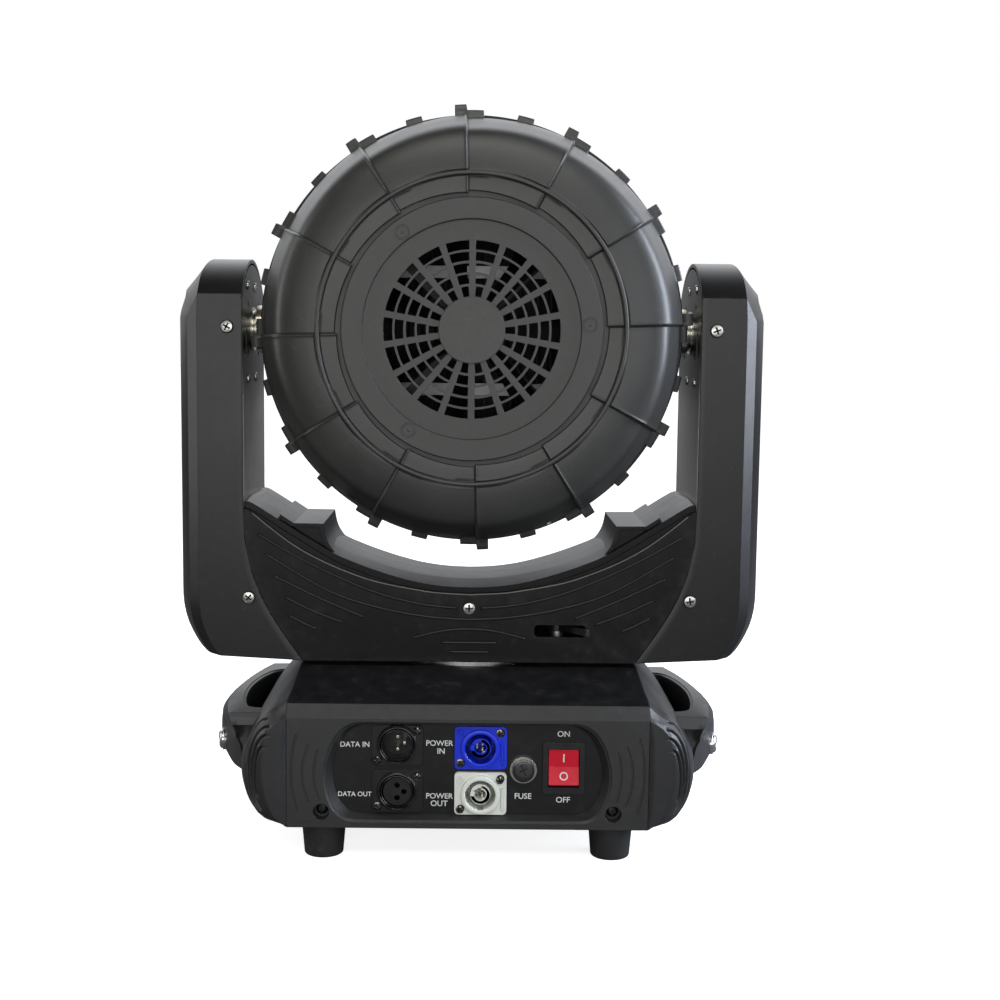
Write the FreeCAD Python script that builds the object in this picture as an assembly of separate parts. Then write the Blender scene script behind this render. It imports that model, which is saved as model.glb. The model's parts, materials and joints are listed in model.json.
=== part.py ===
import FreeCAD, Part
import math
import os
from FreeCAD import Vector

# Moving head wash light, built as separate pieces: a base, a yoke that pans on
# it and a head that tilts in the yoke.
# Units are millimetres. +Z is up. The origin is on the pan axis at floor level
# (underside of the feet). The connector side faces -Y, the lenses face +Y at
# rest, and the tilt axis is parallel to X. Right is +X.

os.makedirs("parts", exist_ok=True)

# ---------------------------------------------------------------- shared dimensions
WALL = 2.6               # moulded covers
RUN = 0.05               # running clearance on a shaft, radial
TILT_Z = 324.0           # tilt axis height
PAN_TUBE_R = 22.0
PAN_PULLEY_R = 42.0
PAN_PINION_R = 8.0
PAN_MOTOR_X = -85.0
TILT_SHAFT_R = 12.0
TILT_PULLEY_R = 34.0
TILT_PINION_R = 9.0
TILT_MOTOR_Z = 161.0
MOTOR_SHAFT_R = 2.5
MOTOR_BOSS_R = 11.0
SIDES = (-1, 1)
ORIGIN = Vector(0, 0, 0)
X_AXIS, Y_AXIS, Z_AXIS = Vector(1, 0, 0), Vector(0, 1, 0), Vector(0, 0, 1)


# ---------------------------------------------------------------- solids
def box(x0, x1, y0, y1, z0, z1):
    return Part.makeBox(x1 - x0, y1 - y0, z1 - z0, Vector(x0, y0, z0))


def cyl_x(radius, x0, x1, y, z):
    return Part.makeCylinder(radius, x1 - x0, Vector(x0, y, z), X_AXIS)


def cyl_y(radius, y0, y1, x, z):
    return Part.makeCylinder(radius, y1 - y0, Vector(x, y0, z), Y_AXIS)


def cyl_z(radius, z0, z1, x, y):
    return Part.makeCylinder(radius, z1 - z0, Vector(x, y, z0), Z_AXIS)


def polygon(points):
    points = [Vector(*point) for point in points]
    return Part.makePolygon(points + [points[0]])


def prism_x(points, x0, x1):
    """Extrude a (y, z) outline along X."""
    return Part.Face(polygon([(x0, y, z) for y, z in points])).extrude(Vector(x1 - x0, 0, 0))


def prism_y(points, y0, y1):
    """Extrude an (x, z) outline along Y."""
    return Part.Face(polygon([(x, y0, z) for x, z in points])).extrude(Vector(0, y1 - y0, 0))


def prism_z(points, z0, z1):
    """Extrude an (x, y) outline along Z."""
    return Part.Face(polygon([(x, y, z0) for x, y in points])).extrude(Vector(0, 0, z1 - z0))


def revolve_y(points, x=0.0, z=TILT_Z):
    """Turn a closed (radius, y) profile about an axis parallel to Y."""
    face = Part.Face(polygon([(x + radius, y, z) for radius, y in points]))
    return face.revolve(Vector(x, 0, z), Y_AXIS, 360)


def loft(wires):
    return Part.makeLoft(wires, True, True)


def fuse(items):
    return items[0].fuse(items[1:]).removeSplitter()


def mirror_x(shape):
    return shape.mirror(ORIGIN, X_AXIS)


def mirror_y(shape):
    return shape.mirror(ORIGIN, Y_AXIS)


def pair_x(shape):
    return [shape, mirror_x(shape)]


def largest(shape):
    return max(shape.Solids, key=lambda solid: solid.Volume)


def save(name, shape):
    solids = shape.Solids
    result = solids[0] if len(solids) == 1 else Part.makeCompound(solids)
    result.exportStep("parts/" + name + ".step")


# ---------------------------------------------------------------- 2-D outlines
def polar(radius, degrees):
    angle = math.radians(degrees)
    return radius * math.cos(angle), radius * math.sin(angle)


def ring(count, radius, start=0):
    """Points equally spaced round a circle about the origin."""
    return [polar(radius, start + 360 / count * k) for k in range(count)]


def arc(centre, radius_x, radius_z, start, end, steps):
    """Points of an elliptical arc, angles in degrees."""
    points = []
    for k in range(steps + 1):
        cosine, sine = polar(1, start + (end - start) * k / steps)
        points.append((centre[0] + radius_x * cosine, centre[1] + radius_z * sine))
    return points


def rounded_rect(x, z, width, height, radius):
    points = []
    for side_x, side_z, start in ((1, 1, 0), (-1, 1, 90), (-1, -1, 180), (1, -1, 270)):
        corner = (x + side_x * (width / 2 - radius), z + side_z * (height / 2 - radius))
        points += arc(corner, radius, radius, start, start + 90, 5)
    return points


def sector(inner, outer, start, end, y0, y1, steps):
    """Ring segment about the optical axis, angles seen from -Y."""
    centre = (0, TILT_Z)
    return prism_y(arc(centre, outer, outer, start, end, steps)
                   + arc(centre, inner, inner, end, start, steps), y0, y1)


def smooth(points, steps):
    """Catmull-Rom refinement of an open polyline."""
    result = []
    last = len(points) - 1
    for i in range(last):
        before, start = points[max(i - 1, 0)], points[i]
        end, after = points[i + 1], points[min(i + 2, last)]
        for k in range(steps):
            t = k / steps
            result.append(tuple(
                0.5 * ((2 * b) + (-a + c) * t + (2 * a - 5 * b + 4 * c - d) * t * t
                       + (-a + 3 * b - 3 * c + d) * t ** 3)
                for a, b, c, d in zip(before, start, end, after)))
    result.append(points[-1])
    return result


def offset_path(path, distance):
    """Move a path to the right of its direction of travel."""
    result = []
    for i, (x, z) in enumerate(path):
        before, after = path[max(i - 1, 0)], path[min(i + 1, len(path) - 1)]
        step_x, step_z = after[0] - before[0], after[1] - before[1]
        length = math.hypot(step_x, step_z)
        result.append((x + distance * step_z / length, z - distance * step_x / length))
    return result


def band(path, width):
    """Closed outline of a constant-width band along a path."""
    return offset_path(path, -width / 2) + offset_path(path, width / 2)[::-1]


def arc_through(first, middle, last):
    """Points of the circular arc through three points."""
    (ax, az), (bx, bz), (cx, cz) = first, middle, last
    a_sq, b_sq, c_sq = ax * ax + az * az, bx * bx + bz * bz, cx * cx + cz * cz
    det = 2 * (ax * (bz - cz) + bx * (cz - az) + cx * (az - bz))
    x = (a_sq * (bz - cz) + b_sq * (cz - az) + c_sq * (az - bz)) / det
    z = (a_sq * (cx - bx) + b_sq * (ax - cx) + c_sq * (bx - ax)) / det
    radius = math.hypot(ax - x, az - z)
    start = math.degrees(math.atan2(az - z, ax - x))
    end = math.degrees(math.atan2(cz - z, cx - x))
    sweep = (end - start + 180) % 360 - 180
    return arc((x, z), radius, radius, start, start + sweep, 12)


def pan_head_screw(x, z, y_face, head_r, head_h, shank, shank_r):
    """Cross-slot screw whose head stands towards -Y from y_face."""
    top = y_face - head_h
    screw = revolve_y([(0.001, top), (head_r * 0.45, y_face - head_h * 0.97),
                       (head_r * 0.8, y_face - head_h * 0.72),
                       (head_r * 0.97, y_face - head_h * 0.3), (head_r, y_face),
                       (shank_r, y_face), (shank_r, y_face + shank),
                       (0.001, y_face + shank)], x, z)
    long, narrow = 2.2, 0.5              # half sizes of the slots
    return screw.cut(fuse([box(x - a, x + a, top - 1, top + 1.1, z - b, z + b)
                           for a, b in ((long, narrow), (narrow, long))]))


# ================================================================ BASE
FOOT_H = 20.8
FOOT_X, FOOT_Y = 89.0, 84.0
FOOT_R_TOP, FOOT_R_BOT = 13.75, 12.0
BASE_Y = 100.0           # half depth
BASE_HX = 110.4          # half width of the centre section at its end faces
BASE_HX_TOP = 107.0      # half width of the centre section on the plateau
BASE_Z_FACE = 89.2       # top of the upright end face
BASE_BEVEL_Y, BASE_BEVEL_Z = 93.0, 96.5
PLATEAU_Y, PLATEAU_Z = 48.0, 110.5
FRAME_SCREWS = [(-89.3, 30.6), (89.3, 30.6)]           # x, z

# Barrel-shaped recess in the end face: +X half as (x, z), from the top down
RECESS = smooth([(0, 86.0), (40, 86.0), (62, 86.0), (70.0, 85.2), (76.5, 81.5), (81.5, 75),
                 (85.0, 66.5), (87.2, 55.5), (86.3, 45.0), (83.2, 35.2), (78.0, 28.8),
                 (72.0, 26.0), (62, 25.4), (40, 25.4), (0, 25.4)], 4)
RECESS_HX, RECESS_HZ = 87.2, 30.3
RECESS_Z = 55.7

# Grooves on the end face: start, middle and end of each arc as (x, z)
BASE_ARCS = [[(-104.3, 78.6), (-107.6, 56.5), (-103.8, 30.8)],
             [(-96.6, 72.8), (-100.8, 54.5), (-96.4, 35.4)],
             [(-91.2, 69.3), (-93.7, 54.5), (-90.8, 38.0)]]


def recess_wire(inset_x, inset_z, y):
    scale_x = (RECESS_HX - inset_x) / RECESS_HX
    scale_z = (RECESS_HZ - inset_z) / RECESS_HZ
    half = [(x * scale_x, RECESS_Z + (z - RECESS_Z) * scale_z) for x, z in RECESS]
    outline = half[:-1] + [(-x, z) for x, z in reversed(half)][:-1]
    return polygon([(x, y, z) for x, z in outline])


def base_end_frame():
    """Hollow end frame at -Y with a funnel-shaped opening."""
    outer = prism_x([(-BASE_Y, FOOT_H), (-BASE_Y, BASE_Z_FACE), (-BASE_BEVEL_Y, BASE_BEVEL_Z),
                     (-92.5, BASE_BEVEL_Z), (-92.5, 93.9), (-85.2, 93.9), (-85.2, FOOT_H)],
                    -BASE_HX, BASE_HX)
    inner = prism_x([(-97.0, 23.6), (-97.0, 88.0), (-92.0, 91.4), (-85.0, 91.4),
                     (-85.0, 23.6)], -BASE_HX + WALL, BASE_HX - WALL)
    mouth_y = -BASE_Y - 0.01
    funnel_outer = loft([recess_wire(-2.2, -1.6, -98.5), recess_wire(2.3, 0.9, -91.9)])
    funnel_inner = loft([recess_wire(0.0, 0.0, mouth_y), recess_wire(4.5, 2.5, -91.8)])
    mouth_bevel = loft([recess_wire(-1.0, -1.0, mouth_y), recess_wire(0.0, 0.0, -99.0)])
    frame = outer.cut(inner).fuse(funnel_outer.common(outer)).cut([funnel_inner, mouth_bevel])
    # counterbored cups for the frame screws
    bore_r = 5.0
    for x, z in FRAME_SCREWS:
        frame = frame.cut(cyl_y(bore_r, -101, -96.5, x, z))
        cup = cyl_y(6.2, -97.2, -90.5, x, z).cut([cyl_y(bore_r, -97.3, -92.4, x, z),
                                                  cyl_y(1.9, -93, -90, x, z)])
        frame = frame.fuse(cup)
        frame = frame.cut(cyl_y(bore_r, -101, -92.4, x, z))
    for points in BASE_ARCS:
        groove = prism_y(band(arc_through(*points), 1.3), -BASE_Y - 0.6, -BASE_Y + 0.6)
        frame = frame.cut(pair_x(groove))
    return frame.removeSplitter()


end_frame = base_end_frame()
save("base_rear_frame", end_frame)
save("base_front_frame", mirror_y(end_frame))

# Waisted plan of the centre section, a tall blank for trimming
BASE_PLAN = prism_z([(BASE_HX, -93), (BASE_HX_TOP, -PLATEAU_Y), (BASE_HX_TOP, PLATEAU_Y),
                     (BASE_HX, 93), (-BASE_HX, 93), (-BASE_HX_TOP, PLATEAU_Y),
                     (-BASE_HX_TOP, -PLATEAU_Y), (-BASE_HX, -93)], 80, 120)


def base_top_cover():
    edge_y, edge_z = 92.35, 94.1
    cover = prism_x([(-edge_y, BASE_BEVEL_Z), (-PLATEAU_Y, PLATEAU_Z), (PLATEAU_Y, PLATEAU_Z),
                     (edge_y, BASE_BEVEL_Z), (edge_y, edge_z), (85.0, edge_z), (47.6, 107.9),
                     (-47.6, 107.9), (-85.0, edge_z), (-edge_y, edge_z)], -BASE_HX, BASE_HX)
    return cover.common(BASE_PLAN).cut(cyl_z(24, 100, 120, 0, 0)).removeSplitter()


def base_bottom_plate():
    """Plate with four bracket holes and a row of seven slots on each side."""
    plate = box(-109.8, 109.8, -84.9, 84.9, FOOT_H, 23.2)
    plate = plate.common(BASE_PLAN.translated(Vector(0, 0, -75)))
    for side in SIDES:
        for side_y in SIDES:
            plate = plate.cut(cyl_z(5.0, 15, 30, 53 * side, 35 * side_y))
        x = side * 82
        for k in range(7):
            y = -27 + k * 9
            plate = plate.cut(box(x - 14, x + 14, y - 1.5, y + 1.5, 15, 30))
    return plate


def rubber_foot(x, y):
    foot = Part.makeCone(FOOT_R_BOT, FOOT_R_TOP, FOOT_H, Vector(x, y, 0), Z_AXIS)
    floor_edges = [e for e in foot.Edges if abs(e.BoundBox.ZMax) < 0.01]
    return foot.makeFillet(1.6, floor_edges).cut(cyl_z(5.0, -1, 9, x, y))


save("base_top_cover", base_top_cover())
save("base_bottom_plate", base_bottom_plate())
save("rubber_feet", Part.makeCompound([rubber_foot(FOOT_X * side_x, FOOT_Y * side_y)
                                       for side_x in SIDES for side_y in SIDES]))

# ---------------------------------------------------------------- side caps
# Sections at |y|: (x, z) from the inner top edge over the flank to the inner bottom edge
CAP = {
    100.0: [(110.7, 88.7), (112.9, 86.6), (117.8, 80.8), (122.7, 72.4), (125.5, 62.2),
            (126.1, 53.5), (125.1, 44.5), (122.4, 34.3), (118.1, 26.8), (110.7, 20.8)],
    96.5: [(110.7, 92.6), (114.5, 90.6), (121.8, 83.8), (127.8, 74.0), (131.2, 63.0),
           (131.9, 53.2), (130.7, 43.0), (127.4, 32.5), (121.4, 24.6), (110.7, 20.8)],
    93.0: [(110.7, 96.4), (116.0, 94.0), (124.8, 86.2), (131.6, 75.4), (135.3, 63.5),
           (136.0, 53.0), (134.6, 42.0), (130.6, 31.0), (123.6, 23.6), (110.7, 20.8)],
    86.0: [(110.7, 98.4), (117.2, 96.4), (126.8, 87.8), (134.0, 76.4), (138.2, 64.0),
           (139.2, 53.0), (137.8, 41.0), (133.2, 30.2), (125.4, 22.8), (110.7, 20.8)],
    76.0: [(109.4, 101.8), (117.2, 99.2), (126.6, 90.8), (134.6, 79.0), (140.0, 65.0),
           (141.6, 53.0), (140.0, 40.4), (135.0, 29.6), (126.6, 22.4), (109.4, 20.8)],
    62.0: [(108.4, 106.1), (116.0, 102.6), (125.0, 93.6), (134.2, 80.6), (140.4, 65.8),
           (142.4, 53.0), (140.6, 40.0), (135.4, 29.2), (127.0, 22.2), (108.4, 20.8)],
    48.0: [(107.3, 110.4), (115.4, 105.0), (124.2, 95.4), (134.0, 81.4), (140.6, 66.0),
           (142.6, 53.0), (140.8, 40.0), (135.6, 29.0), (127.2, 22.2), (107.3, 20.8)],
}
CAP_YS = [-y for y in CAP] + list(reversed(CAP))
# Grooves round both ends of a cap: |y| of the section followed, shift towards the axis
CAP_GROOVES = [(96.5, 0.35), (93.0, 0.3), (86.0, 0.25), (76.0, 0.2)]


def cap_section(y):
    return smooth(CAP[abs(y)], 3)


def cap_offset_wire(y, inset, inner_x):
    """Section moved in by inset and carried back to inner_x."""
    path = offset_path(cap_section(y), inset)
    path = [(inner_x, path[0][1])] + path + [(inner_x, path[-1][1])]
    return polygon([(x, y, z) for x, z in path])


def side_cap():
    outer = loft([polygon([(x, y, z) for x, z in cap_section(y)]) for y in CAP_YS])
    cap = outer.cut(loft([cap_offset_wire(y, WALL, 100.0) for y in CAP_YS[1:-1]]))
    for k, (y, shift) in enumerate(CAP_GROOVES):
        path = [(x - shift, z) for x, z in cap_section(y)
                if 33.0 + k * 1.5 < z < 84.0 - k * 4.5]
        groove = prism_y(band(path, 1.1), -y - 5, -y + 1.6)
        cap = cap.cut([groove, mirror_y(groove)])
    return cap


cap_right = side_cap()
save("side_cap_right", cap_right)
save("side_cap_left", mirror_x(cap_right))

# ---------------------------------------------------------------- carrying handles
# D-shaped loops in plan, (x, y) from -Y to +Y
HANDLE_OUTER = smooth([(139.5, -71), (145.5, -66.5), (154.0, -55.5), (160.8, -40), (166.4, -20),
                       (168.4, 0), (166.4, 20), (160.8, 40), (154.0, 55.5), (145.5, 66.5),
                       (139.5, 71)], 4)
HANDLE_INNER = smooth([(139.5, -53), (143.5, -49.5), (147.0, -38), (149.5, -20), (150.3, 0),
                       (149.5, 20), (147.0, 38), (143.5, 49.5), (139.5, 53)], 4)
# z, shrink of the plan at that level
HANDLE_LEVELS = [(43.5, 6.0), (49.5, 0.6), (52.0, 0.0), (61.0, 0.3),
                 (67.0, 1.6), (73.0, 4.4), (79.0, 8.0), (84.0, 12.5)]
HANDLE_ROOT_X = 120.0
BOLT_Y, BOLT_Z = 9.5, 56.5


def handle_wire(z, shrink):
    scale_y = 1 - shrink / 130.0
    points = [(x - shrink * (x - HANDLE_ROOT_X) / 48.0, y * scale_y) for x, y in HANDLE_OUTER]
    points += [(HANDLE_ROOT_X, 71.0 * scale_y), (HANDLE_ROOT_X, -71.0 * scale_y)]
    return polygon([(x, y, z) for x, y in points])


def handle():
    body = loft([handle_wire(z, shrink) for z, shrink in HANDLE_LEVELS])
    opening = prism_z(HANDLE_INNER + [(100, 53), (100, -53)], 40, 90)
    cap_envelope = loft([cap_offset_wire(y, -0.25, 90.0) for y in CAP_YS])
    body = largest(body.cut([opening, cap_envelope]))
    for side in SIDES:
        body = body.cut(cyl_x(4.6, 163.0, 175, BOLT_Y * side, BOLT_Z))
        body = body.cut(cyl_x(2.1, 150, 175, BOLT_Y * side, BOLT_Z))
    return body


def handle_bolt(y):
    bolt = fuse([cyl_x(4.3, 164.6, 168.6, y, BOLT_Z), cyl_x(2.0, 152, 165, y, BOLT_Z)])
    return bolt.cut(cyl_x(2.2, 166.6, 169.6, y, BOLT_Z))


handle_right = handle()
save("handle_right", handle_right)
save("handle_left", mirror_x(handle_right))
bolts_right = [handle_bolt(BOLT_Y * side) for side in SIDES]
save("handle_bolts", Part.makeCompound([mirror_x(bolt) for bolt in bolts_right] + bolts_right))

# ---------------------------------------------------------------- connector side
PANEL_Y = -91.6          # outer face of the connector panel
PANEL_T = 1.5
SEAT_Y = PANEL_Y - 0.05  # seating plane of everything mounted on the panel
DATA_X, POWER_X = -43.0, 8.0
# x, z, rise of the flange screws from the centre
DATA_IN = (DATA_X, 71.0, 9.2)
DATA_OUT = (DATA_X, 42.2, 9.9)
POWER_IN = (POWER_X, 69.8, 9.5)
POWER_OUT = (POWER_X, 41.2, 9.5)
SOCKETS = [DATA_IN, DATA_OUT, POWER_IN, POWER_OUT]
FLANGE_SCREW_X = 12.2
DATA_FLANGE_T, POWER_FLANGE_T = 1.9, 2.4
DATA_PINS = [(-0.2, 3.9), (-0.2, -3.9), (4.0, 0.0)]    # x, z from the socket centre
FUSE_X, FUSE_Z = 34.2, 56.3
SWITCH_X, SWITCH_Z = 59.0, 57.4
PIVOT_Y = SEAT_Y + 3.0   # rocker pivot of the switch
PIVOT_R = 1.5


def flange_screws(socket):
    x, z, rise = socket
    return [(x + side * FLANGE_SCREW_X, z + side * rise) for side in SIDES]


def drill_flange(body, socket):
    for x, z in flange_screws(socket):
        body = body.cut(cyl_y(1.4, -99, -84, x, z))
    return body


def connector_panel():
    def hole(radius, x, z):
        return cyl_y(radius, -95, -85, x, z)

    panel = box(-96, 96, PANEL_Y, PANEL_Y + PANEL_T, 24.2, 90.8)
    panel = panel.cut([hole(12.0, *DATA_IN[:2]), hole(12.0, *DATA_OUT[:2]),
                       hole(12.4, *POWER_IN[:2]), hole(12.4, *POWER_OUT[:2]),
                       hole(6.2, FUSE_X, FUSE_Z),
                       box(SWITCH_X - 11.4, SWITCH_X + 11.4, -95, -85,
                           SWITCH_Z - 14.2, SWITCH_Z + 14.2)])
    for socket in SOCKETS:
        for x, z in flange_screws(socket):
            panel = panel.cut(hole(1.4, x, z))
    for x, z in FRAME_SCREWS:
        panel = panel.cut(hole(6.6, x, z))
    return panel


def data_body(z, flange_h):
    """Flange, raised collar and barrel of a data socket."""
    return fuse([prism_y(rounded_rect(DATA_X, z, 31, flange_h, 3.2),
                         SEAT_Y - DATA_FLANGE_T, SEAT_Y),
                 cyl_y(12.4, SEAT_Y - 3.1, SEAT_Y - 0.5, DATA_X, z),
                 cyl_y(11.6, SEAT_Y - 1, SEAT_Y + 20, DATA_X, z)])


def data_in_socket():
    """Three-pole male insert at the bottom of a well with a bevelled mouth."""
    z = DATA_IN[1]
    well_r = 9.9
    body = data_body(z, 24.8)
    body = body.cut([cyl_y(well_r, SEAT_Y - 4, SEAT_Y + 13.5, DATA_X, z),
                     Part.makeCone(11.6, well_r, 1.7, Vector(DATA_X, SEAT_Y - 3.11, z), Y_AXIS)])
    for pin_x, pin_z in DATA_PINS:
        body = body.cut(cyl_y(1.2, SEAT_Y + 10, SEAT_Y + 21, DATA_X + pin_x, z + pin_z))
    return drill_flange(body, DATA_IN)


def data_out_socket():
    """Three-pole female insert inside a ring groove."""
    z = DATA_OUT[1]
    groove = cyl_y(10.9, SEAT_Y - 4, SEAT_Y + 10, DATA_X, z)
    groove = groove.cut(cyl_y(8.7, SEAT_Y - 5, SEAT_Y + 11, DATA_X, z))
    body = data_body(z, 26).cut(groove)
    for pin_x, pin_z in DATA_PINS:
        body = body.cut(cyl_y(1.7, SEAT_Y - 5, SEAT_Y + 12, DATA_X + pin_x, z + pin_z))
    return drill_flange(body, DATA_OUT)


def power_socket(socket):
    """Twist-lock socket: an annular well round a slotted core."""
    x, z, _ = socket
    body = fuse([prism_y(rounded_rect(x, z, 32.0, 26.6, 2.6), SEAT_Y - POWER_FLANGE_T, SEAT_Y),
                 cyl_y(11.7, SEAT_Y - 4.0, SEAT_Y - 0.5, x, z),
                 cyl_y(12.0, SEAT_Y - 1, SEAT_Y + 24, x, z)])
    well = cyl_y(9.6, SEAT_Y - 5, SEAT_Y + 15, x, z)
    body = body.cut(well.cut(cyl_y(6.2, SEAT_Y - 3.2, SEAT_Y + 16, x, z)))
    # keyways at the top, bottom and -X side of the well
    key_y0, key_y1 = SEAT_Y - 5, SEAT_Y + 13
    body = body.cut([box(x - 1.9, x + 1.9, key_y0, key_y1, z + 8.5, z + 10.9),
                     box(x - 1.9, x + 1.9, key_y0, key_y1, z - 10.9, z - 8.5),
                     box(x - 11.0, x - 8.5, key_y0, key_y1, z - 2.2, z + 3.2)])
    # hollow of the core, open towards -X
    body = body.cut([cyl_y(3.9, SEAT_Y - 4, SEAT_Y + 14, x, z),
                     box(x - 7, x - 1, SEAT_Y - 4, SEAT_Y + 14, z - 1.4, z + 2.2)])
    # shallow upright slot in the flange
    body = body.cut(box(x + 12.4, x + 13.8, SEAT_Y - 3, SEAT_Y - 1.6, z - 11, z + 3.6))
    return drill_flange(body, socket)


def socket_contacts():
    """Round pins of the data input and flat blades of both power sockets."""
    contacts = []
    tip_y = SEAT_Y + 3.0
    for pin_x, pin_z in DATA_PINS:
        pin = cyl_y(1.17, tip_y, SEAT_Y + 23, DATA_X + pin_x, DATA_IN[1] + pin_z)
        tip_edges = [e for e in pin.Edges if abs(e.BoundBox.YMax - tip_y) < 0.01]
        contacts.append(pin.makeFillet(0.5, tip_edges))
    blade = box(-0.5, 0.5, SEAT_Y + 2, SEAT_Y + 13.5, -1.5, 1.5)
    for x, z, _ in (POWER_IN, POWER_OUT):
        for blade_x, blade_z in ring(3, 2.24, 60):
            contacts.append(blade.translated(Vector(x + blade_x, 0, z + blade_z)))
    return Part.makeCompound(contacts)


def base_screws():
    """Flange screws, then the frame screws of both ends."""
    screws = []
    for socket in SOCKETS:
        flange_t = DATA_FLANGE_T if socket[0] == DATA_X else POWER_FLANGE_T
        for x, z in flange_screws(socket):
            screws.append(pan_head_screw(x, z, SEAT_Y - flange_t - 0.05, head_r=2.5, head_h=1.6,
                                         shank=5.0, shank_r=1.35))
    for x, z in FRAME_SCREWS:
        screw = pan_head_screw(x, z, -92.5, head_r=3.6, head_h=2.2, shank=5.0, shank_r=1.8)
        screws += [screw, mirror_y(screw)]
    return Part.makeCompound(screws)


def fuse_part(radius, y0, y1):
    """Cylinder on the fuse axis, y measured from the seat."""
    return cyl_y(radius, SEAT_Y + y0, SEAT_Y + y1, FUSE_X, FUSE_Z)


def fuse_holder():
    holder = fuse([fuse_part(8.3, -2.6, 0), fuse_part(6.1, -1, 32)])
    return holder.cut(fuse_part(5.0, -5, 31)).cut(fuse_part(6.9, -5, -1.4))


def fuse_cap():
    """Cap with a cross slot, and the fuse behind it."""
    cap = fuse([fuse_part(6.6, -6.2, -1.5), fuse_part(4.9, -2, 4)])
    cap = cap.cut([box(FUSE_X - a, FUSE_X + a, SEAT_Y - 7, SEAT_Y - 4.9, FUSE_Z - b, FUSE_Z + b)
                   for a, b in ((4.4, 0.7), (0.7, 4.4))])
    return cap.fuse(fuse_part(2.6, 3.9, 21.0))


def switch_bezel():
    bezel = fuse([prism_y(rounded_rect(SWITCH_X, SWITCH_Z, 25.8, 32.4, 1.5),
                          SEAT_Y - 1.9, SEAT_Y),
                  box(SWITCH_X - 11.2, SWITCH_X + 11.2, SEAT_Y - 1, SEAT_Y + 17,
                      SWITCH_Z - 14.0, SWITCH_Z + 14.0)])
    return bezel.cut([box(SWITCH_X - 9.6, SWITCH_X + 9.6, SEAT_Y - 4, SEAT_Y + 15,
                          SWITCH_Z - 12.0, SWITCH_Z + 12.0),
                      cyl_x(PIVOT_R + RUN, SWITCH_X - 10.6, SWITCH_X + 10.6,
                            PIVOT_Y, SWITCH_Z)])


def switch_rocker():
    """Rocker with its trunnions, drawn upright and then tipped."""
    # y, z from the pivot
    profile = [(-3.6, 0), (-5.6, 10.6), (-4.9, 11.3), (3.0, 9.6), (5.0, 3.0), (5.0, -3.0),
               (3.0, -9.6), (-4.9, -11.3), (-5.6, -10.6)]
    rocker = prism_x([(PIVOT_Y + y, SWITCH_Z + z) for y, z in profile],
                     SWITCH_X - 9.2, SWITCH_X + 9.2)
    rocker = rocker.fuse(cyl_x(PIVOT_R, SWITCH_X - 10.5, SWITCH_X + 10.5, PIVOT_Y, SWITCH_Z))
    rocker.rotate(Vector(SWITCH_X, PIVOT_Y, SWITCH_Z), X_AXIS, -9)
    return rocker


save("connector_panel", connector_panel())
save("data_in_socket", data_in_socket())
save("data_out_socket", data_out_socket())
save("power_in_socket", power_socket(POWER_IN))
save("power_out_socket", power_socket(POWER_OUT))
save("socket_contacts", socket_contacts())
save("base_screws", base_screws())
save("fuse_holder", fuse_holder())
save("fuse_cap", fuse_cap())
save("switch_bezel", switch_bezel())
save("switch_rocker", switch_rocker())

# ---------------------------------------------------------------- display side
DISPLAY_Y = -PANEL_Y     # outer face of the display panel
BUTTONS = {"button_menu": (30, 68), "button_up": (52, 68),
           "button_down": (52, 48), "button_enter": (30, 48)}    # x, z


def display_panel():
    panel = box(-96, 96, DISPLAY_Y - PANEL_T, DISPLAY_Y, 24.2, 90.8)
    panel = panel.cut(box(-52, 8, 85, 95, 42, 78))
    for x, z in BUTTONS.values():
        panel = panel.cut(cyl_y(5.2, 85, 95, x, z))
    for x, z in FRAME_SCREWS:
        panel = panel.cut(cyl_y(6.6, 85, 95, x, z))
    return panel


def button(x, z):
    tip_y = DISPLAY_Y + 2.2
    body = fuse([cyl_y(5.1, 89.0, tip_y, x, z), cyl_y(6.4, 88.0, 89.4, x, z)])
    return body.makeFillet(0.6, [e for e in body.Edges if abs(e.BoundBox.YMin - tip_y) < 0.01])


save("display_panel", display_panel())
save("display_screen", fuse([box(-51.9, 7.9, 86.0, DISPLAY_Y + 0.4, 42.1, 77.9),
                             box(-56, 12, 82.5, 86.4, 38, 82)]))
for name, (x, z) in BUTTONS.items():
    save(name, button(x, z))

# ---------------------------------------------------------------- inside the base
POST_Z0 = 23.3           # foot of the support posts
BOARD_TOP = 45.6
# Blocks on the control board: x, y, width, depth, height
BOARD_BLOCKS = [(50, 20, 16, 16, 3), (80, -30, 12, 22, 8), (60, -40, 10, 10, 12),
                (85, 35, 14, 26, 10), (48, 50, 18, 8, 9)]


def power_supply():
    supply = fuse([box(-102, -44, -64, 64, 42, 84)]
                  + [cyl_z(3.5, POST_Z0, 42.1, x, y) for x in (-98, -64) for y in (-60, 60)])
    for k in range(9):
        y = -48 + k * 12
        supply = supply.cut(box(-94, -52, y - 2, y + 2, 82.5, 85))
    return supply


def control_board():
    items = [box(38, 103, -62, 64, 44, BOARD_TOP)]
    for x, y, width, depth, height in BOARD_BLOCKS:
        items.append(box(x - width / 2, x + width / 2, y - depth / 2, y + depth / 2,
                         BOARD_TOP - 0.1, BOARD_TOP + height))
    items += [cyl_z(3, POST_Z0, 44.1, x, y) for x in (42, 99) for y in (-58, 60)]
    return fuse(items)


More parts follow.
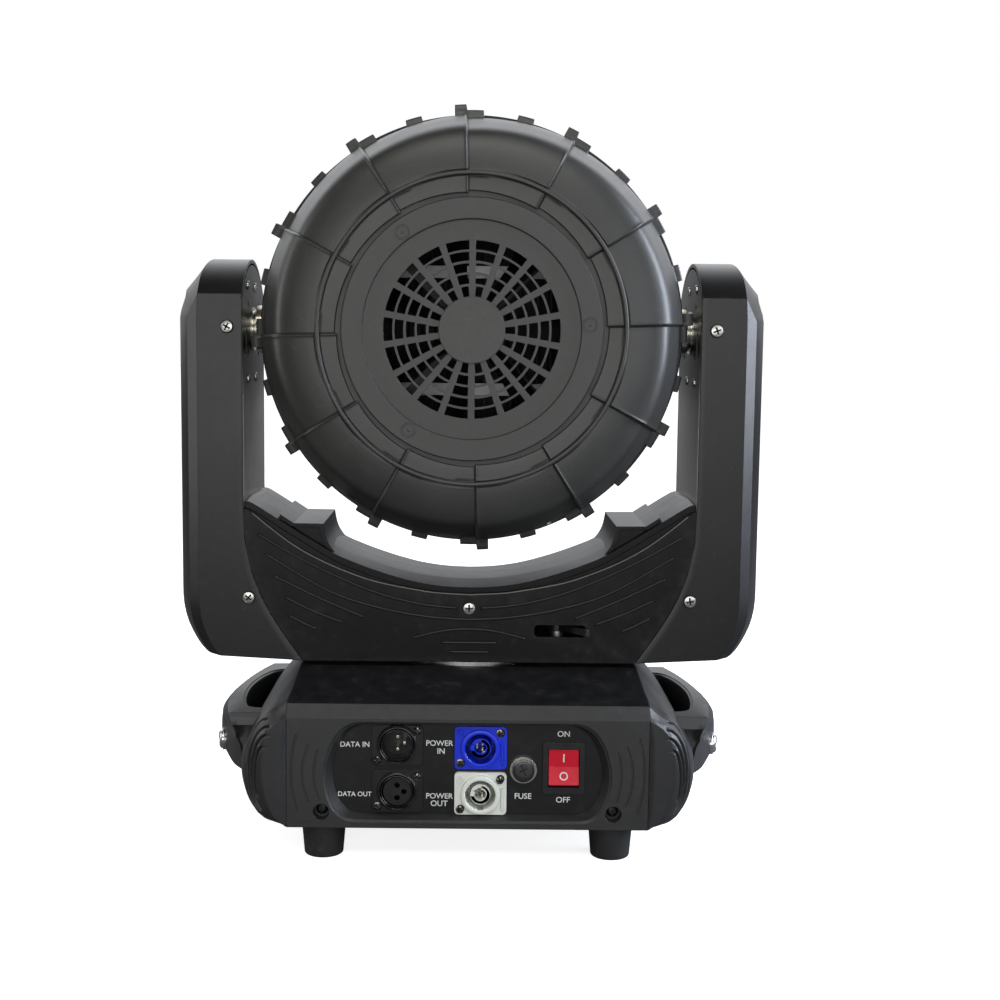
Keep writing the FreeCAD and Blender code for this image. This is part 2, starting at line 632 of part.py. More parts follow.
def pan_hub():
    """Hollow tube with its bolting flange and the fixed pan pulley."""
    tube = fuse([cyl_z(PAN_TUBE_R, 96, 134, 0, 0), cyl_z(38, 104.4, 107.8, 0, 0)])
    tube = tube.cut(cyl_z(17, 90, 140, 0, 0))
    for x, y in ring(6, 32, 30):
        tube = tube.cut(cyl_z(2.1, 100, 110, x, y))
    pulley = fuse([cyl_z(PAN_PULLEY_R, 122.6, 129.4, 0, 0),
                   cyl_z(PAN_PULLEY_R + 1.5, 121.6, 122.7, 0, 0)])
    pulley = pulley.cut(cyl_z(PAN_TUBE_R - 0.5, 110, 140, 0, 0))
    for x, y in ring(6, 32):
        pulley = pulley.cut(cyl_z(5.5, 110, 140, x, y))
    return tube.fuse(pulley).removeSplitter()


save("power_supply", power_supply())
save("control_board", control_board())
save("pan_bearing", cyl_z(48, PLATEAU_Z + 0.05, 113.0, 0, 0).cut(cyl_z(24.5, 100, 120, 0, 0)))
save("pan_hub", pan_hub())

# ================================================================ YOKE
ARM_IN = 143.5           # inner face of each arm
ARM_OUT = 190.6          # widest point of each arm
ARM_HY = 49.0            # half depth of the yoke
YOKE_Z0 = 113.4          # underside of the yoke
ARM_TOP = 369.0
ARM_TOP_R = 62.5
LOCK_X, LOCK_Y = 57.1, -30.0    # pivot of the pan lock lever
LOCK_PIN_R = 2.0
ARM_SCREWS = [(152.9, 325.1), (140.3, 154.0)]          # x, z
LOWER_SCREW_Z = 148.3


def arch(half_ys, top, radius):
    """(y, z) points of a round arm top, from +Y to -Y."""
    ys = half_ys + [0] + [-y for y in reversed(half_ys)]
    return [(y, top - radius + math.sqrt(radius * radius - y * y)) for y in ys]


def frame_plate(x0, x1):
    """Upright side plate with shaft hole, fixing holes and oval slots."""
    plate = prism_x([(-45.5, 118.5), (45.5, 118.5)]
                    + arch([45.5, 42, 36, 28, 19, 9.5], 365.4, 60.0), x0, x1)
    plate = plate.cut(cyl_x(14.0, x0 - 1, x1 + 1, 0, TILT_Z))
    for angle in (35, 145, 215, 325):
        y, z = polar(27, angle)
        plate = plate.cut(cyl_x(2.1, x0 - 1, x1 + 1, y, TILT_Z + z))
    for y in (-31, 31):
        plate = plate.cut(prism_x(rounded_rect(y, TILT_Z - 8, 5, 16, 2.45), x0 - 1, x1 + 1))
    return plate


def yoke_frame():
    """Steel frame: floor, two side plates, hub, motor bridge and lock post."""
    plate_out = ARM_IN + 2.9
    right = frame_plate(ARM_IN, plate_out)
    right = right.cut(cyl_x(11.2, ARM_IN - 1, plate_out + 1, 0, TILT_MOTOR_Z))
    frame = fuse([box(-143.4, 143.4, -40, 40, 118.2, 120.6),
                  frame_plate(-plate_out, -ARM_IN), right,
                  box(-143.6, -140.5, -40, 40, 118.2, 132),
                  box(140.5, 143.6, -40, 40, 118.2, 132),
                  cyl_z(32, 113.3, 118.4, 0, 0)])
    bridge = fuse([box(-109, -61, -27, 27, 131.0, 133.0), box(-109, -61, -27, -25, 120.5, 131.1),
                   box(-109, -61, 25, 27, 120.5, 131.1)])
    lock_post = fuse([cyl_z(LOCK_PIN_R, 120.5, 139.0, LOCK_X, LOCK_Y),
                      cyl_z(4.0, 137.0, 139.0, LOCK_X, LOCK_Y),
                      cyl_z(4.0, 120.5, 130.8, LOCK_X, LOCK_Y)])
    frame = frame.fuse([bridge, lock_post]).removeSplitter()
    return frame.cut([cyl_z(PAN_TUBE_R + RUN, 100, 125, 0, 0),
                      cyl_z(11.2, 130, 134, PAN_MOTOR_X, 0)])


save("yoke_frame", yoke_frame())

# ---------------------------------------------------------------- arm covers
# Seam between arm cover and lower cover, (x, z) from the top down
SEAM = smooth([(ARM_IN, 217.0), (143.2, 197.0), (140.6, 179.0), (136.2, 164.0), (130.0, 150.0),
               (121.2, 135.0), (106.4, YOKE_Z0)], 3)
# |y|, x of the outer face at that depth
ARM_OUTER = [(49.0, 171.6), (47.6, 173.4), (42.0, 178.0), (38.5, 180.2), (30.0, 184.3),
             (20.0, 187.8), (10.0, 189.9), (0.0, ARM_OUT)]
ARM_INNER = [(46.4, 169.8), (40.5, 176.6), (30.0, 182.0), (20.0, 185.4), (10.0, 187.4),
             (0.0, 188.1)]
ARM_BLANK_TOP = 372.0    # section height before trimming to the arch
ARM_BLANK_BOTTOM = 115.4


def outer_corners(x_out, top_r, top_z, bottom_r, bottom_z):
    """Outer top corner and long bottom corner of an arm section."""
    tall_top, tall_bottom = top_r * 1.25, bottom_r * 1.9
    return (arc((x_out - top_r, top_z - tall_top), top_r, tall_top, 90, 0, 8)
            + arc((x_out - bottom_r, bottom_z + tall_bottom), bottom_r, tall_bottom, 0, -90, 8))


def arm_outer_outline(x_out):
    points = [(x + 0.2, z) for x, z in reversed(SEAM)]
    points.append((ARM_IN + 0.2, ARM_BLANK_TOP))
    top_r = 21.0 + (x_out - ARM_OUT) * 0.25
    return points + outer_corners(x_out, top_r, ARM_BLANK_TOP, 20.0, ARM_BLANK_BOTTOM)


def arm_inner_outline(x_out):
    bottom = 116.2
    points = [(x - 4.0, z) for x, z in reversed(SEAM) if z > bottom]
    points = [(points[0][0], bottom)] + points + [(ARM_IN - 4.0, ARM_BLANK_TOP)]
    return points + outer_corners(x_out, 19.0, ARM_BLANK_TOP - WALL,
                                  19.0, ARM_BLANK_BOTTOM + WALL)


def arm_blank(stations, outline, half_ys, inset, shoulder_z):
    """Loft through the stations, trimmed to the arched top."""
    stations = [(-y, x) for y, x in stations] + stations[-2::-1]
    body = loft([polygon([(x, y, z) for x, z in outline(x_out)]) for y, x_out in stations])
    profile = ([(-60, 100), (60, 100), (60, shoulder_z)]
               + arch(half_ys, ARM_TOP - inset, ARM_TOP_R - inset) + [(-60, shoulder_z)])
    return body.common(prism_x(profile, 90, 200))


def arm_cover():
    outer = arm_blank(ARM_OUTER, arm_outer_outline, [49.0, 46, 42, 36, 29, 22, 15, 7.5],
                      0, 345.3)
    inner = arm_blank(ARM_INNER, arm_inner_outline, [46.4, 42, 36, 29, 22, 15, 7.5],
                      WALL, 343.0)
    arm = outer.cut(inner)
    for x, z in ARM_SCREWS:
        arm = arm.cut([cyl_y(2.0, -52, -44, x, z), cyl_y(2.0, 44, 52, x, z)])
    return largest(arm)


arm_right = arm_cover()
save("arm_cover_right", arm_right)
save("arm_cover_left", mirror_x(arm_right))

# ---------------------------------------------------------------- lower covers
# Top edges of the shell, +X half as (x, z): saddle edge, crest at mid depth, front lip
SADDLE_EDGE = smooth([(0, 160.8), (16, 161.5), (33.4, 164.0), (50, 168.3), (65, 173.2),
                      (77, 177.8), (86.5, 182.0), (102.8, 191.6), (120.4, 202.6),
                      (139.2, 214.3), (143.3, 214.3)], 3)
CREST = smooth([(0, 164.1), (15, 164.8), (33.4, 167.2), (50, 170.8), (65, 175.2), (77, 179.6),
                (86.5, 184.4), (102.8, 194.2), (120.4, 205.6), (136.0, 216.5),
                (143.3, 216.5)], 3)
LIP = smooth([(0, 157.2), (20, 158.2), (33.2, 160.0), (58.3, 164.8), (77.2, 171.0), (96, 179.1),
              (112.3, 188.4), (127.3, 199.6), (139.5, 209.6), (143.3, 210.6)], 3)
# Horn standing on the saddle, its hollow and its recessed facet, (x, z)
HORN = [(84.0, 176.0)] + smooth([(86.6, 182.6), (89.6, 186.8), (91.6, 191.0), (92.8, 195.6),
                                 (93.6, 200.6)], 3) + [(112.6, 200.8), (121.5, 206.6),
                                                       (118.0, 196.0)]
HORN_HOLLOW = [(88.0, 176), (94.6, 186), (96.4, 198.2), (112, 198.2), (117.0, 200.2),
               (115.0, 190.0)]
HORN_FACET = [(96.2, 198.4), (113.2, 198.6), (104.6, 192.4), (91.8, 185.4), (94.4, 191.0)]
# Grooves on the outer face, -X half as (x, z)
FACE_LINES = [[(-134.2, 194.5), (-102.3, 176.5), (-64.6, 159.7), (-33.2, 151.1), (-7.3, 148.3)],
              [(-129.5, 181.9), (-89.8, 158.8), (-58.3, 148.3), (-26.8, 142.6), (0, 140.9)],
              [(-124.3, 168.0), (-96, 154.2), (-67.1, 142.0)],
              [(-117.1, 154.1), (-99.0, 145.4), (-80.6, 138.4)],
              [(-115.0, 142.6), (-106.0, 137.9), (-97.1, 133.9)]]
CENTRE_BOW = [(-36.0, 128.7), (-18, 133.2), (0, 134.8), (18, 133.2), (36.0, 128.7)]
GROOVE_W = 1.5


def lower_wire(top, y, gap=0.2, bottom=YOKE_Z0):
    """Full-width section between a top edge and the seams, held gap inside them."""
    seam = [(x - gap, z) for x, z in SEAM if z <= 210]
    right = [point for point in top if point[0] < seam[0][0] - 0.3]
    right.append((seam[0][0], right[-1][1]))
    right += seam
    right[-1] = (right[-1][0], bottom)
    left = [(-x, z) for x, z in reversed(right)][:-1]
    return polygon([(x, y, z) for x, z in right + left])


def lowered(edge, drop):
    return [(x, z - drop) for x, z in edge]


def face_grooves():
    y0, y1 = -ARM_HY - 0.5, -ARM_HY + 0.6
    grooves = []
    for line in FACE_LINES:
        grooves += pair_x(prism_y(band(smooth(line, 5), GROOVE_W), y0, y1))
    grooves.append(prism_y(band(smooth(CENTRE_BOW, 4), GROOVE_W), y0, y1))
    for half_width, z in ((17.6, 125.2), (12.1, 119.2)):
        grooves.append(box(-half_width, half_width, y0, y1, z, z + GROOVE_W))
    return grooves


def lower_cover():
    """Shell on the -Y side, from the face to the crest at mid depth."""
    mid_y = -0.1
    front = loft([lower_wire(LIP, -ARM_HY), lower_wire(LIP, -46.0)])
    sunk_edge = lowered(SADDLE_EDGE, 4.5)
    step = loft([lower_wire(sunk_edge, -46.0), lower_wire(sunk_edge, -44.0)])
    rising = [(x, z + (crest_z - z) * 0.72) for (x, z), (_, crest_z) in zip(SADDLE_EDGE, CREST)]
    saddle = loft([lower_wire(SADDLE_EDGE, -44.0), lower_wire(rising, -22.0),
                   lower_wire(CREST, mid_y)])
    horn = prism_y(HORN, -40.5, mid_y)
    shell = front.fuse([step, saddle] + pair_x(horn))
    shell = shell.cut(pair_x(prism_y(HORN_FACET, -41.0, -38.8)))

    def cavity(edges):
        return loft([lower_wire(edge, y, gap=-1.5, bottom=100.0) for edge, y in edges])

    lip_inside = lowered(LIP, WALL)
    shell = shell.cut([cavity([(lip_inside, -46.4), (lip_inside, -43.6)]),
                       cavity([(lowered(SADDLE_EDGE, 2.8), -43.7), (lowered(CREST, 2.8), 0.5)])]
                      + pair_x(prism_y(HORN_HOLLOW, -38.6, 0.5)))
    # floor, left open round the hub of the steel frame
    floor = box(-106, 106, -46.5, mid_y, YOKE_Z0, 115.8).cut(cyl_z(52, 100, 120, 0, 0))
    shell = shell.fuse(floor).cut(face_grooves())
    return shell.cut(cyl_y(2.0, -52, -44, 0, LOWER_SCREW_Z)).removeSplitter()


def yoke_screws():
    places = [(side * x, z) for x, z in ARM_SCREWS for side in (1, -1)] + [(0, LOWER_SCREW_Z)]
    screws = []
    for x, z in places:
        screw = pan_head_screw(x, z, -ARM_HY - 0.02, head_r=4.0, head_h=2.3,
                               shank=4.6, shank_r=1.9)
        screws += [screw, mirror_y(screw)]
    return Part.makeCompound(screws)


lower_shell = lower_cover()
lock_slot = prism_y(rounded_rect(58.1, 133.9, 33.0, 7.8, 2.4), -52, -44)
save("yoke_cover_near", largest(lower_shell.cut(lock_slot)))
save("yoke_cover_far", largest(mirror_y(lower_shell)))
save("yoke_screws", yoke_screws())


# ---------------------------------------------------------------- pan and tilt drives
def motor_body(length):
    """Square motor body with bevelled corners, along +Z from z = 0."""
    half = 21.0
    flat = half - 4.0
    return prism_z([(half, -flat), (half, flat), (flat, half), (-flat, half),
                    (-half, flat), (-half, -flat), (-flat, -half), (flat, -half)], 0, length)


def belt_outline(centre, radius, pinion_centre, pinion_r):
    """Closed outline round a pulley and a pinion."""
    dx, dy = pinion_centre[0] - centre[0], pinion_centre[1] - centre[1]
    base = math.degrees(math.atan2(dy, dx))
    wrap = math.degrees(math.acos((radius - pinion_r) / math.hypot(dx, dy)))
    return (arc(centre, radius, radius, base + wrap, base + 360 - wrap, 40)
            + arc(pinion_centre, pinion_r, pinion_r, base - wrap, base + wrap, 20))


def belt_outlines(centre, radius, pinion_centre, pinion_r):
    """Outer and inner outline of a belt, held clear of the round pulleys."""
    clearance, thickness = 0.35, 1.5
    return [belt_outline(centre, radius + grow, pinion_centre, pinion_r + grow)
            for grow in (thickness + clearance, clearance)]


def pan_motor():
    motor = motor_body(31.5).translated(Vector(PAN_MOTOR_X, 0, 133.1))
    return motor.fuse([cyl_z(MOTOR_BOSS_R, 131.2, 133.2, PAN_MOTOR_X, 0),
                       cyl_z(MOTOR_SHAFT_R, 121.4, 131.3, PAN_MOTOR_X, 0)]).removeSplitter()


def pan_belt():
    outer, inner = belt_outlines((0, 0), PAN_PULLEY_R, (PAN_MOTOR_X, 0), PAN_PINION_R)
    return prism_z(outer, 123.0, 129.0).cut(prism_z(inner, 122, 130))


def tilt_motor():
    motor = motor_body(36.0)
    motor.rotate(ORIGIN, Y_AXIS, 90)
    motor = motor.translated(Vector(104.6, 0, TILT_MOTOR_Z))
    motor = motor.fuse([cyl_x(MOTOR_BOSS_R, 140.5, 146.3, 0, TILT_MOTOR_Z),
                        cyl_x(MOTOR_SHAFT_R, 146.2, 158.6, 0, TILT_MOTOR_Z)]).removeSplitter()
    return motor.cut(box(140.4, 143.45, -25, 25, 118, 132.1))


def tilt_belt():
    outer, inner = belt_outlines((0, TILT_Z), TILT_PULLEY_R, (0, TILT_MOTOR_Z), TILT_PINION_R)
    return prism_x(outer, 151.6, 157.6).cut(prism_x(inner, 151, 158))


def tilt_bearings():
    bearing = fuse([cyl_x(13.95, 142.6, 146.5, 0, TILT_Z), cyl_x(22, 146.45, 150.2, 0, TILT_Z)])
    bearing = bearing.cut(cyl_x(TILT_SHAFT_R + RUN, 140, 155, 0, TILT_Z))
    return Part.makeCompound([mirror_x(bearing), bearing])


def pan_lock_lever():
    """Lever on an upright pin behind the slot in the near cover."""
    lever = fuse([cyl_z(5.5, 131.2, 136.6, LOCK_X, LOCK_Y),
                  prism_z([(54.2, -31), (61.2, -27), (73.2, -48.6), (76.6, -53.8),
                           (74.2, -55.2), (69.6, -48.6)], 131.8, 136.0)])
    return lever.cut(cyl_z(LOCK_PIN_R + RUN, 120, 140, LOCK_X, LOCK_Y))


save("pan_motor", pan_motor())
save("pan_motor_pulley", cyl_z(PAN_PINION_R, 121.9, 129.6, PAN_MOTOR_X, 0).cut(
    cyl_z(MOTOR_SHAFT_R + RUN, 110, 140, PAN_MOTOR_X, 0)))
save("pan_belt", pan_belt())
save("tilt_motor", tilt_motor())
save("tilt_motor_pulley", cyl_x(TILT_PINION_R, 150.8, 158.4, 0, TILT_MOTOR_Z).cut(
    cyl_x(MOTOR_SHAFT_R + RUN, 140, 170, 0, TILT_MOTOR_Z)))
save("tilt_belt", tilt_belt())
save("tilt_bearings", tilt_bearings())
save("pan_lock_lever", pan_lock_lever())

# ================================================================ HEAD
RIM_R = 131.0
TAB_TALL_R, TAB_SHORT_R = 138.5, 135.0
STEP_ANGLE = 1.8         # first raised edge of the rear casing, degrees
GRILLE_R = 78.3
GRILLE_RINGS = [(47.5, 52.9), (41.0, 46.1), (34.2, 39.4), (27.4, 32.8), (19.95, 25.8)]
FAN_PIN_R = 3.0
LENS_PITCH = 41.0
LENS_R = 19.6
ROD_R = 3.0              # zoom lead screw and guide rod
ROD_OFFSET = 110.5       # height of the lead screw above the optical axis
ZOOM_SHAFT_R = 1.5

# Closed (radius, y) profiles of the turned shells
REAR_PROFILE = [
    (80.4, -91.2), (90.8, -91.2), (90.8, -92.6), (93.4, -92.6), (93.4, -91.0), (99, -90.0),
    (105, -88.2), (111, -85.2), (116.5, -80.8), (121.2, -75.2), (125.2, -68.4), (128.2, -61.0),
    (130.2, -54.0), (RIM_R, -47.0), (RIM_R, -20.3), (128.4, -20.3), (128.4, -47.0),
    (127.6, -53.4), (125.7, -60.0), (122.9, -67.0), (119.1, -73.5), (114.7, -78.8),
    (109.6, -82.8), (104.1, -85.6), (98.5, -87.4), (92.0, -88.6), (80.4, -88.6)]
GRILLE_PROFILE = [
    (0.001, -92.0), (19.65, -92.0), (19.65, -91.0), (65.0, -91.0), (65.6, -92.4), (77.6, -92.4),
    (GRILLE_R, -91.7), (GRILLE_R, -88.4), (84.0, -88.4), (84.0, -86.7), (68.0, -86.7),
    (66.0, -89.0), (0.001, -89.0)]
FRONT_PROFILE = [
    (134.0, -20.0), (134.0, -14.0), (129.0, -11.0), (128.4, 30.0), (126.5, 52.0), (123.0, 66.0),
    (119.0, 70.0), (113.5, 70.0), (113.5, 67.4), (118.0, 66.0), (121.6, 60.0), (124.0, 50.0),
    (125.6, 30.0), (126.0, -20.0)]
BEZEL_PROFILE = [(104.0, 70.1), (118.8, 70.1), (118.0, 72.6), (115.0, 74.6), (106.5, 74.6),
                 (104.0, 72.0)]


def axial(radius, y0, y1):
    """Cylinder on the optical axis."""
    return cyl_y(radius, y0, y1, 0, TILT_Z)


def head_rear_shell():
    """Shallow dome with rim tabs and a raised edge every 30 degrees."""
    ribs = []
    for k in range(12):
        angle = STEP_ANGLE + 30 * k
        for outer, start, end in ((TAB_TALL_R, 0, 3.2), (TAB_SHORT_R, 12, 16.5),
                                  (TAB_SHORT_R, 25.5, 29.9)):
            ribs.append(sector(129.0, outer, angle + start, angle + end, -50, -20.3, 2))
        ribs.append(sector(93.5, 113.0, angle, angle + 0.9, -90.4, -86.0, 1))
    return revolve_y(REAR_PROFILE).fuse(ribs).removeSplitter()


def grille_cover():
    """Disc with five rings of slots between 18 spokes and a raised hub."""
    slots = []
    for inner, outer in GRILLE_RINGS:
        # half the angle taken by a 4 mm spoke
        half = math.degrees(2.0 / ((inner + outer) / 2))
        for k in range(18):
            slots.append(sector(inner, outer, 90 + 20 * k + half, 90 + 20 * (k + 1) - half,
                                -95, -85, 3))
    return revolve_y(GRILLE_PROFILE).cut(slots)


def fan_frame():
    frame = prism_y(rounded_rect(0, TILT_Z, 119.0, 119.0, 5.0), -86.5, -61.5)
    frame = frame.cut(axial(57.0, -90, -55))
    struts = [axial(21.5, -64.5, -61.5)]
    for k in range(4):
        strut = box(-3, 3, -64.5, -61.5, 20, 58.5)
        strut.rotate(ORIGIN, Y_AXIS, 45 + 90 * k)
        struts.append(strut.translated(Vector(0, 0, TILT_Z)))
    frame = frame.fuse(struts)
    frame = frame.fuse(axial(FAN_PIN_R, -82, -64)).removeSplitter()
    for side_x in SIDES:
        for side_z in SIDES:
            frame = frame.cut(cyl_y(2.2, -90, -55, 52.5 * side_x, TILT_Z + 52.5 * side_z))
    return frame


def fan_rotor():
    blades = []
    for k in range(7):
        blade = prism_z([(16, -2.0), (54.5, -9.0), (54.5, 9.0), (16, 6.0)], -0.9, 0.9)
        # pitched about its own span, then turned to its place
        blade.rotate(ORIGIN, X_AXIS, 52)
        blade.rotate(ORIGIN, Y_AXIS, 360.0 / 7 * k)
        blades.append(blade.translated(Vector(0, -75.0, TILT_Z)))
    rotor = axial(19.5, -84.5, -65.5).fuse(blades).common(axial(55.5, -85.0, -65.0))
    return rotor.cut(axial(FAN_PIN_R + RUN, -83, -60)).removeSplitter()


def head_front_shell():
    """Front casing with a flat pad for each tilt shaft and two rows of vents."""
    shell = revolve_y(FRONT_PROFILE)
    pad_x = 131.0
    # x range of each pad, x range of the clearance outside it
    for pad, outside in (((-pad_x, -116), (-140, -pad_x)), ((116, pad_x), (pad_x, 140))):
        block = cyl_x(22, *pad, 0, TILT_Z).cut(axial(125.0, -30, 60))
        shell = shell.fuse(block.common(box(-140, 140, -19.9, 30, 250, 400)))
        shell = shell.cut(cyl_x(20.2, *outside, 0, TILT_Z))
    shell = shell.cut([cyl_x(TILT_SHAFT_R + 0.1, x0, x0 + 50, 0, TILT_Z) for x0 in (-150, 100)])
    vents = []
    for angle in list(range(30, 151, 12)) + list(range(210, 331, 12)):
        for y in (4, 14):
            vents.append(sector(122.0, 136.0, angle - 4.0, angle + 4.0, y, y + 4, 2))
    return shell.cut(vents).removeSplitter()


save("head_rear_shell", head_rear_shell())
save("grille_cover", grille_cover())
save("fan_frame", fan_frame())
save("fan_rotor", fan_rotor())
save("head_front_shell", head_front_shell())
save("lens_bezel", revolve_y(BEZEL_PROFILE))


# ---------------------------------------------------------------- light engine
def lens_centres():
    """Hexagonal layout as (x, z) from the optical axis: 1 + 6 + 12 lenses."""
    centres = [(0.0, 0.0)]
    for row in (1, 2):
        for k in range(6):
            start = polar(row * LENS_PITCH, 60 * k)
            end = polar(row * LENS_PITCH, 60 * (k + 1))
            for j in range(row):
                centres.append(tuple(a + (b - a) * j / row for a, b in zip(start, end)))
    return centres


LENS_PLACES = [(x, TILT_Z + z) for x, z in lens_centres()]


def head_frame():
    """Ring with two cross bars and the zoom guide rod."""
    ring_r = 111.8
    frame = axial(ring_r, -7, 7).cut(axial(106.0, -8, 8))
    frame = fuse([frame] + [box(-106.6, 106.6, -7, -4.2, TILT_Z + z, TILT_Z + z + 8)
                            for z in (-42, 34)])
    frame = frame.common(axial(ring_r, -7, 7))
    return frame.fuse([cyl_y(ROD_R, 6.9, 64.0, 0, TILT_Z - ROD_OFFSET),
                       box(-8, 8, -7, 7, TILT_Z - 114, TILT_Z - 107)]).removeSplitter()


def heat_sink():
    fins = []
    for k in range(-11, 12):
        x = k * 8.6
        half_height = math.sqrt(101.0 ** 2 - x * x)
        fins.append(box(x - 0.9, x + 0.9, -3.9, 12.1, TILT_Z - half_height, TILT_Z + half_height))
    return axial(102.5, 12, 20).fuse(fins).removeSplitter()


def led_board():
    bases = [box(x - 6, x + 6, 21.9, 23.2, z - 6, z + 6) for x, z in LENS_PLACES]
    domes = [cyl_y(4.2, 23.1, 24.6, x, z) for x, z in LENS_PLACES]
    return axial(102.0, 20.1, 22.0).fuse(bases + domes).removeSplitter()


def lens_carrier():
    """Plate that slides on the lead screw (top) and the guide rod (bottom)."""
    y0, y1 = 52.0, 56.0
    ears = [box(-8, 8, y0, y1, TILT_Z + z, TILT_Z + z + 16) for z in (-116, 100)]
    carrier = fuse([axial(103.2, y0, y1)] + ears)
    carrier = carrier.cut([cyl_y(17.4, 50, 58, x, z) for x, z in LENS_PLACES])
    return carrier.cut([cyl_y(ROD_R + RUN, 50, 58, 0, TILT_Z + side * ROD_OFFSET)
                        for side in (1, -1)]).removeSplitter()


def zoom_lenses():
    rim_y = 61.5
    profile = [(0.001, 48.0), (9, 49.4), (15, 52.2), (17.3, 54.0), (17.3, 56.1),
               (LENS_R, 56.1), (LENS_R, rim_y)]
    profile += arc((0, rim_y), LENS_R, 6.5, 15, 75, 4) + [(0.001, 68.0)]
    return Part.makeCompound([revolve_y(profile, x, z) for x, z in LENS_PLACES])


def on_screw(radius, y0, y1):
    """Cylinder on the axis of the zoom lead screw."""
    return cyl_y(radius, y0, y1, 0, TILT_Z + ROD_OFFSET)


save("head_frame", head_frame())
save("heat_sink", heat_sink())
save("led_board", led_board())
save("lens_carrier", lens_carrier())
save("zoom_lenses", zoom_lenses())
save("zoom_motor", on_screw(7.0, 8.0, 30.0).fuse(on_screw(ZOOM_SHAFT_R, 29.9, 33.0)))
save("zoom_lead_screw", on_screw(ROD_R, 31.0, 64.0).cut(on_screw(ZOOM_SHAFT_R + RUN, 30.5, 34.0)))


# ---------------------------------------------------------------- tilt axis
def tilt_shafts():
    """Hollow flanged shafts, one on each side of the head."""
    shaft = fuse([cyl_x(TILT_SHAFT_R, 112.2, 163.0, 0, TILT_Z),
                  cyl_x(19.8, 131.1, 134.6, 0, TILT_Z), cyl_x(15.5, 134.5, 140.0, 0, TILT_Z)])
    shaft = shaft.cut(cyl_x(8.5, 100, 170, 0, TILT_Z))
    for y, z in ring(4, 17.6, 45):
        shaft = shaft.cut(cyl_x(1.2, 130, 136, y, TILT_Z + z))
    return Part.makeCompound([mirror_x(shaft), shaft])


def tilt_pulley():
    pulley = fuse([cyl_x(TILT_PULLEY_R, 151.0, 158.2, 0, TILT_Z),
                   cyl_x(TILT_PULLEY_R + 1.2, 158.1, 159.2, 0, TILT_Z)])
    pulley = pulley.cut(cyl_x(TILT_SHAFT_R, 140, 170, 0, TILT_Z))
    for y, z in ring(5, 23):
        pulley = pulley.cut(cyl_x(5.5, 140, 170, y, TILT_Z + z))
    return pulley


save("tilt_shafts", tilt_shafts())
save("tilt_pulley", tilt_pulley())
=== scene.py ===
"""Looks of a moving head wash light.

The light stands on z = 0 with X across it. The head turns about its round axis,
which lies along Y at HEAD_Z. The rear of the head and the connector panel face
-Y, the side called "near"; +Y is "far". "Right" is +X.
Shapes are given in millimetres; materials, modifiers, lights and camera in metres.
"""
import json
import math
import random
from functools import cached_property

import bpy
import bmesh
from mathutils import Matrix, Vector

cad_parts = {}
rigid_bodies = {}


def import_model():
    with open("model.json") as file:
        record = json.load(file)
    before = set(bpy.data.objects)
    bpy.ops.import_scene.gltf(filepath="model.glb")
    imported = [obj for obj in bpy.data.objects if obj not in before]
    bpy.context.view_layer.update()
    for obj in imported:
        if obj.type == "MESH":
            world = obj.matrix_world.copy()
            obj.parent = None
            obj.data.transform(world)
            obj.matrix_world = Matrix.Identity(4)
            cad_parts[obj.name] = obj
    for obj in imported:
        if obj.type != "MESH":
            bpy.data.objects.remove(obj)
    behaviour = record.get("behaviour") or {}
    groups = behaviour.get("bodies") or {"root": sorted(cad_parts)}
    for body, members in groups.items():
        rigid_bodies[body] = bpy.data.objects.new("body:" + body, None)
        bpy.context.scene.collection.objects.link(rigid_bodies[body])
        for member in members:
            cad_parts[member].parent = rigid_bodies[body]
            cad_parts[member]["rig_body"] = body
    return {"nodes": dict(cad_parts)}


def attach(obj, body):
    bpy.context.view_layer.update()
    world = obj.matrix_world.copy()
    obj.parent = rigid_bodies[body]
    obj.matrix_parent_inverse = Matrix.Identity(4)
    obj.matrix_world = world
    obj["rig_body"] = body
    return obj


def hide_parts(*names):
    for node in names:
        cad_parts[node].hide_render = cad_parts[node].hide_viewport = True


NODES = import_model()["nodes"]
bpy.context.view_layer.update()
random.seed(7)

MM = 0.001
HEAD_Z = 324.0
COVER_Y = 49.0        # outer faces of the yoke and arm covers lie at -COVER_Y and +COVER_Y
PANEL_Y = -91.6       # face of the connector panel
RIGHT_LEFT = (("right", 1), ("left", -1))
NEAR_FAR = (("near", -1), ("far", 1))
TOWARDS_NEAR = (0, -1, 0)


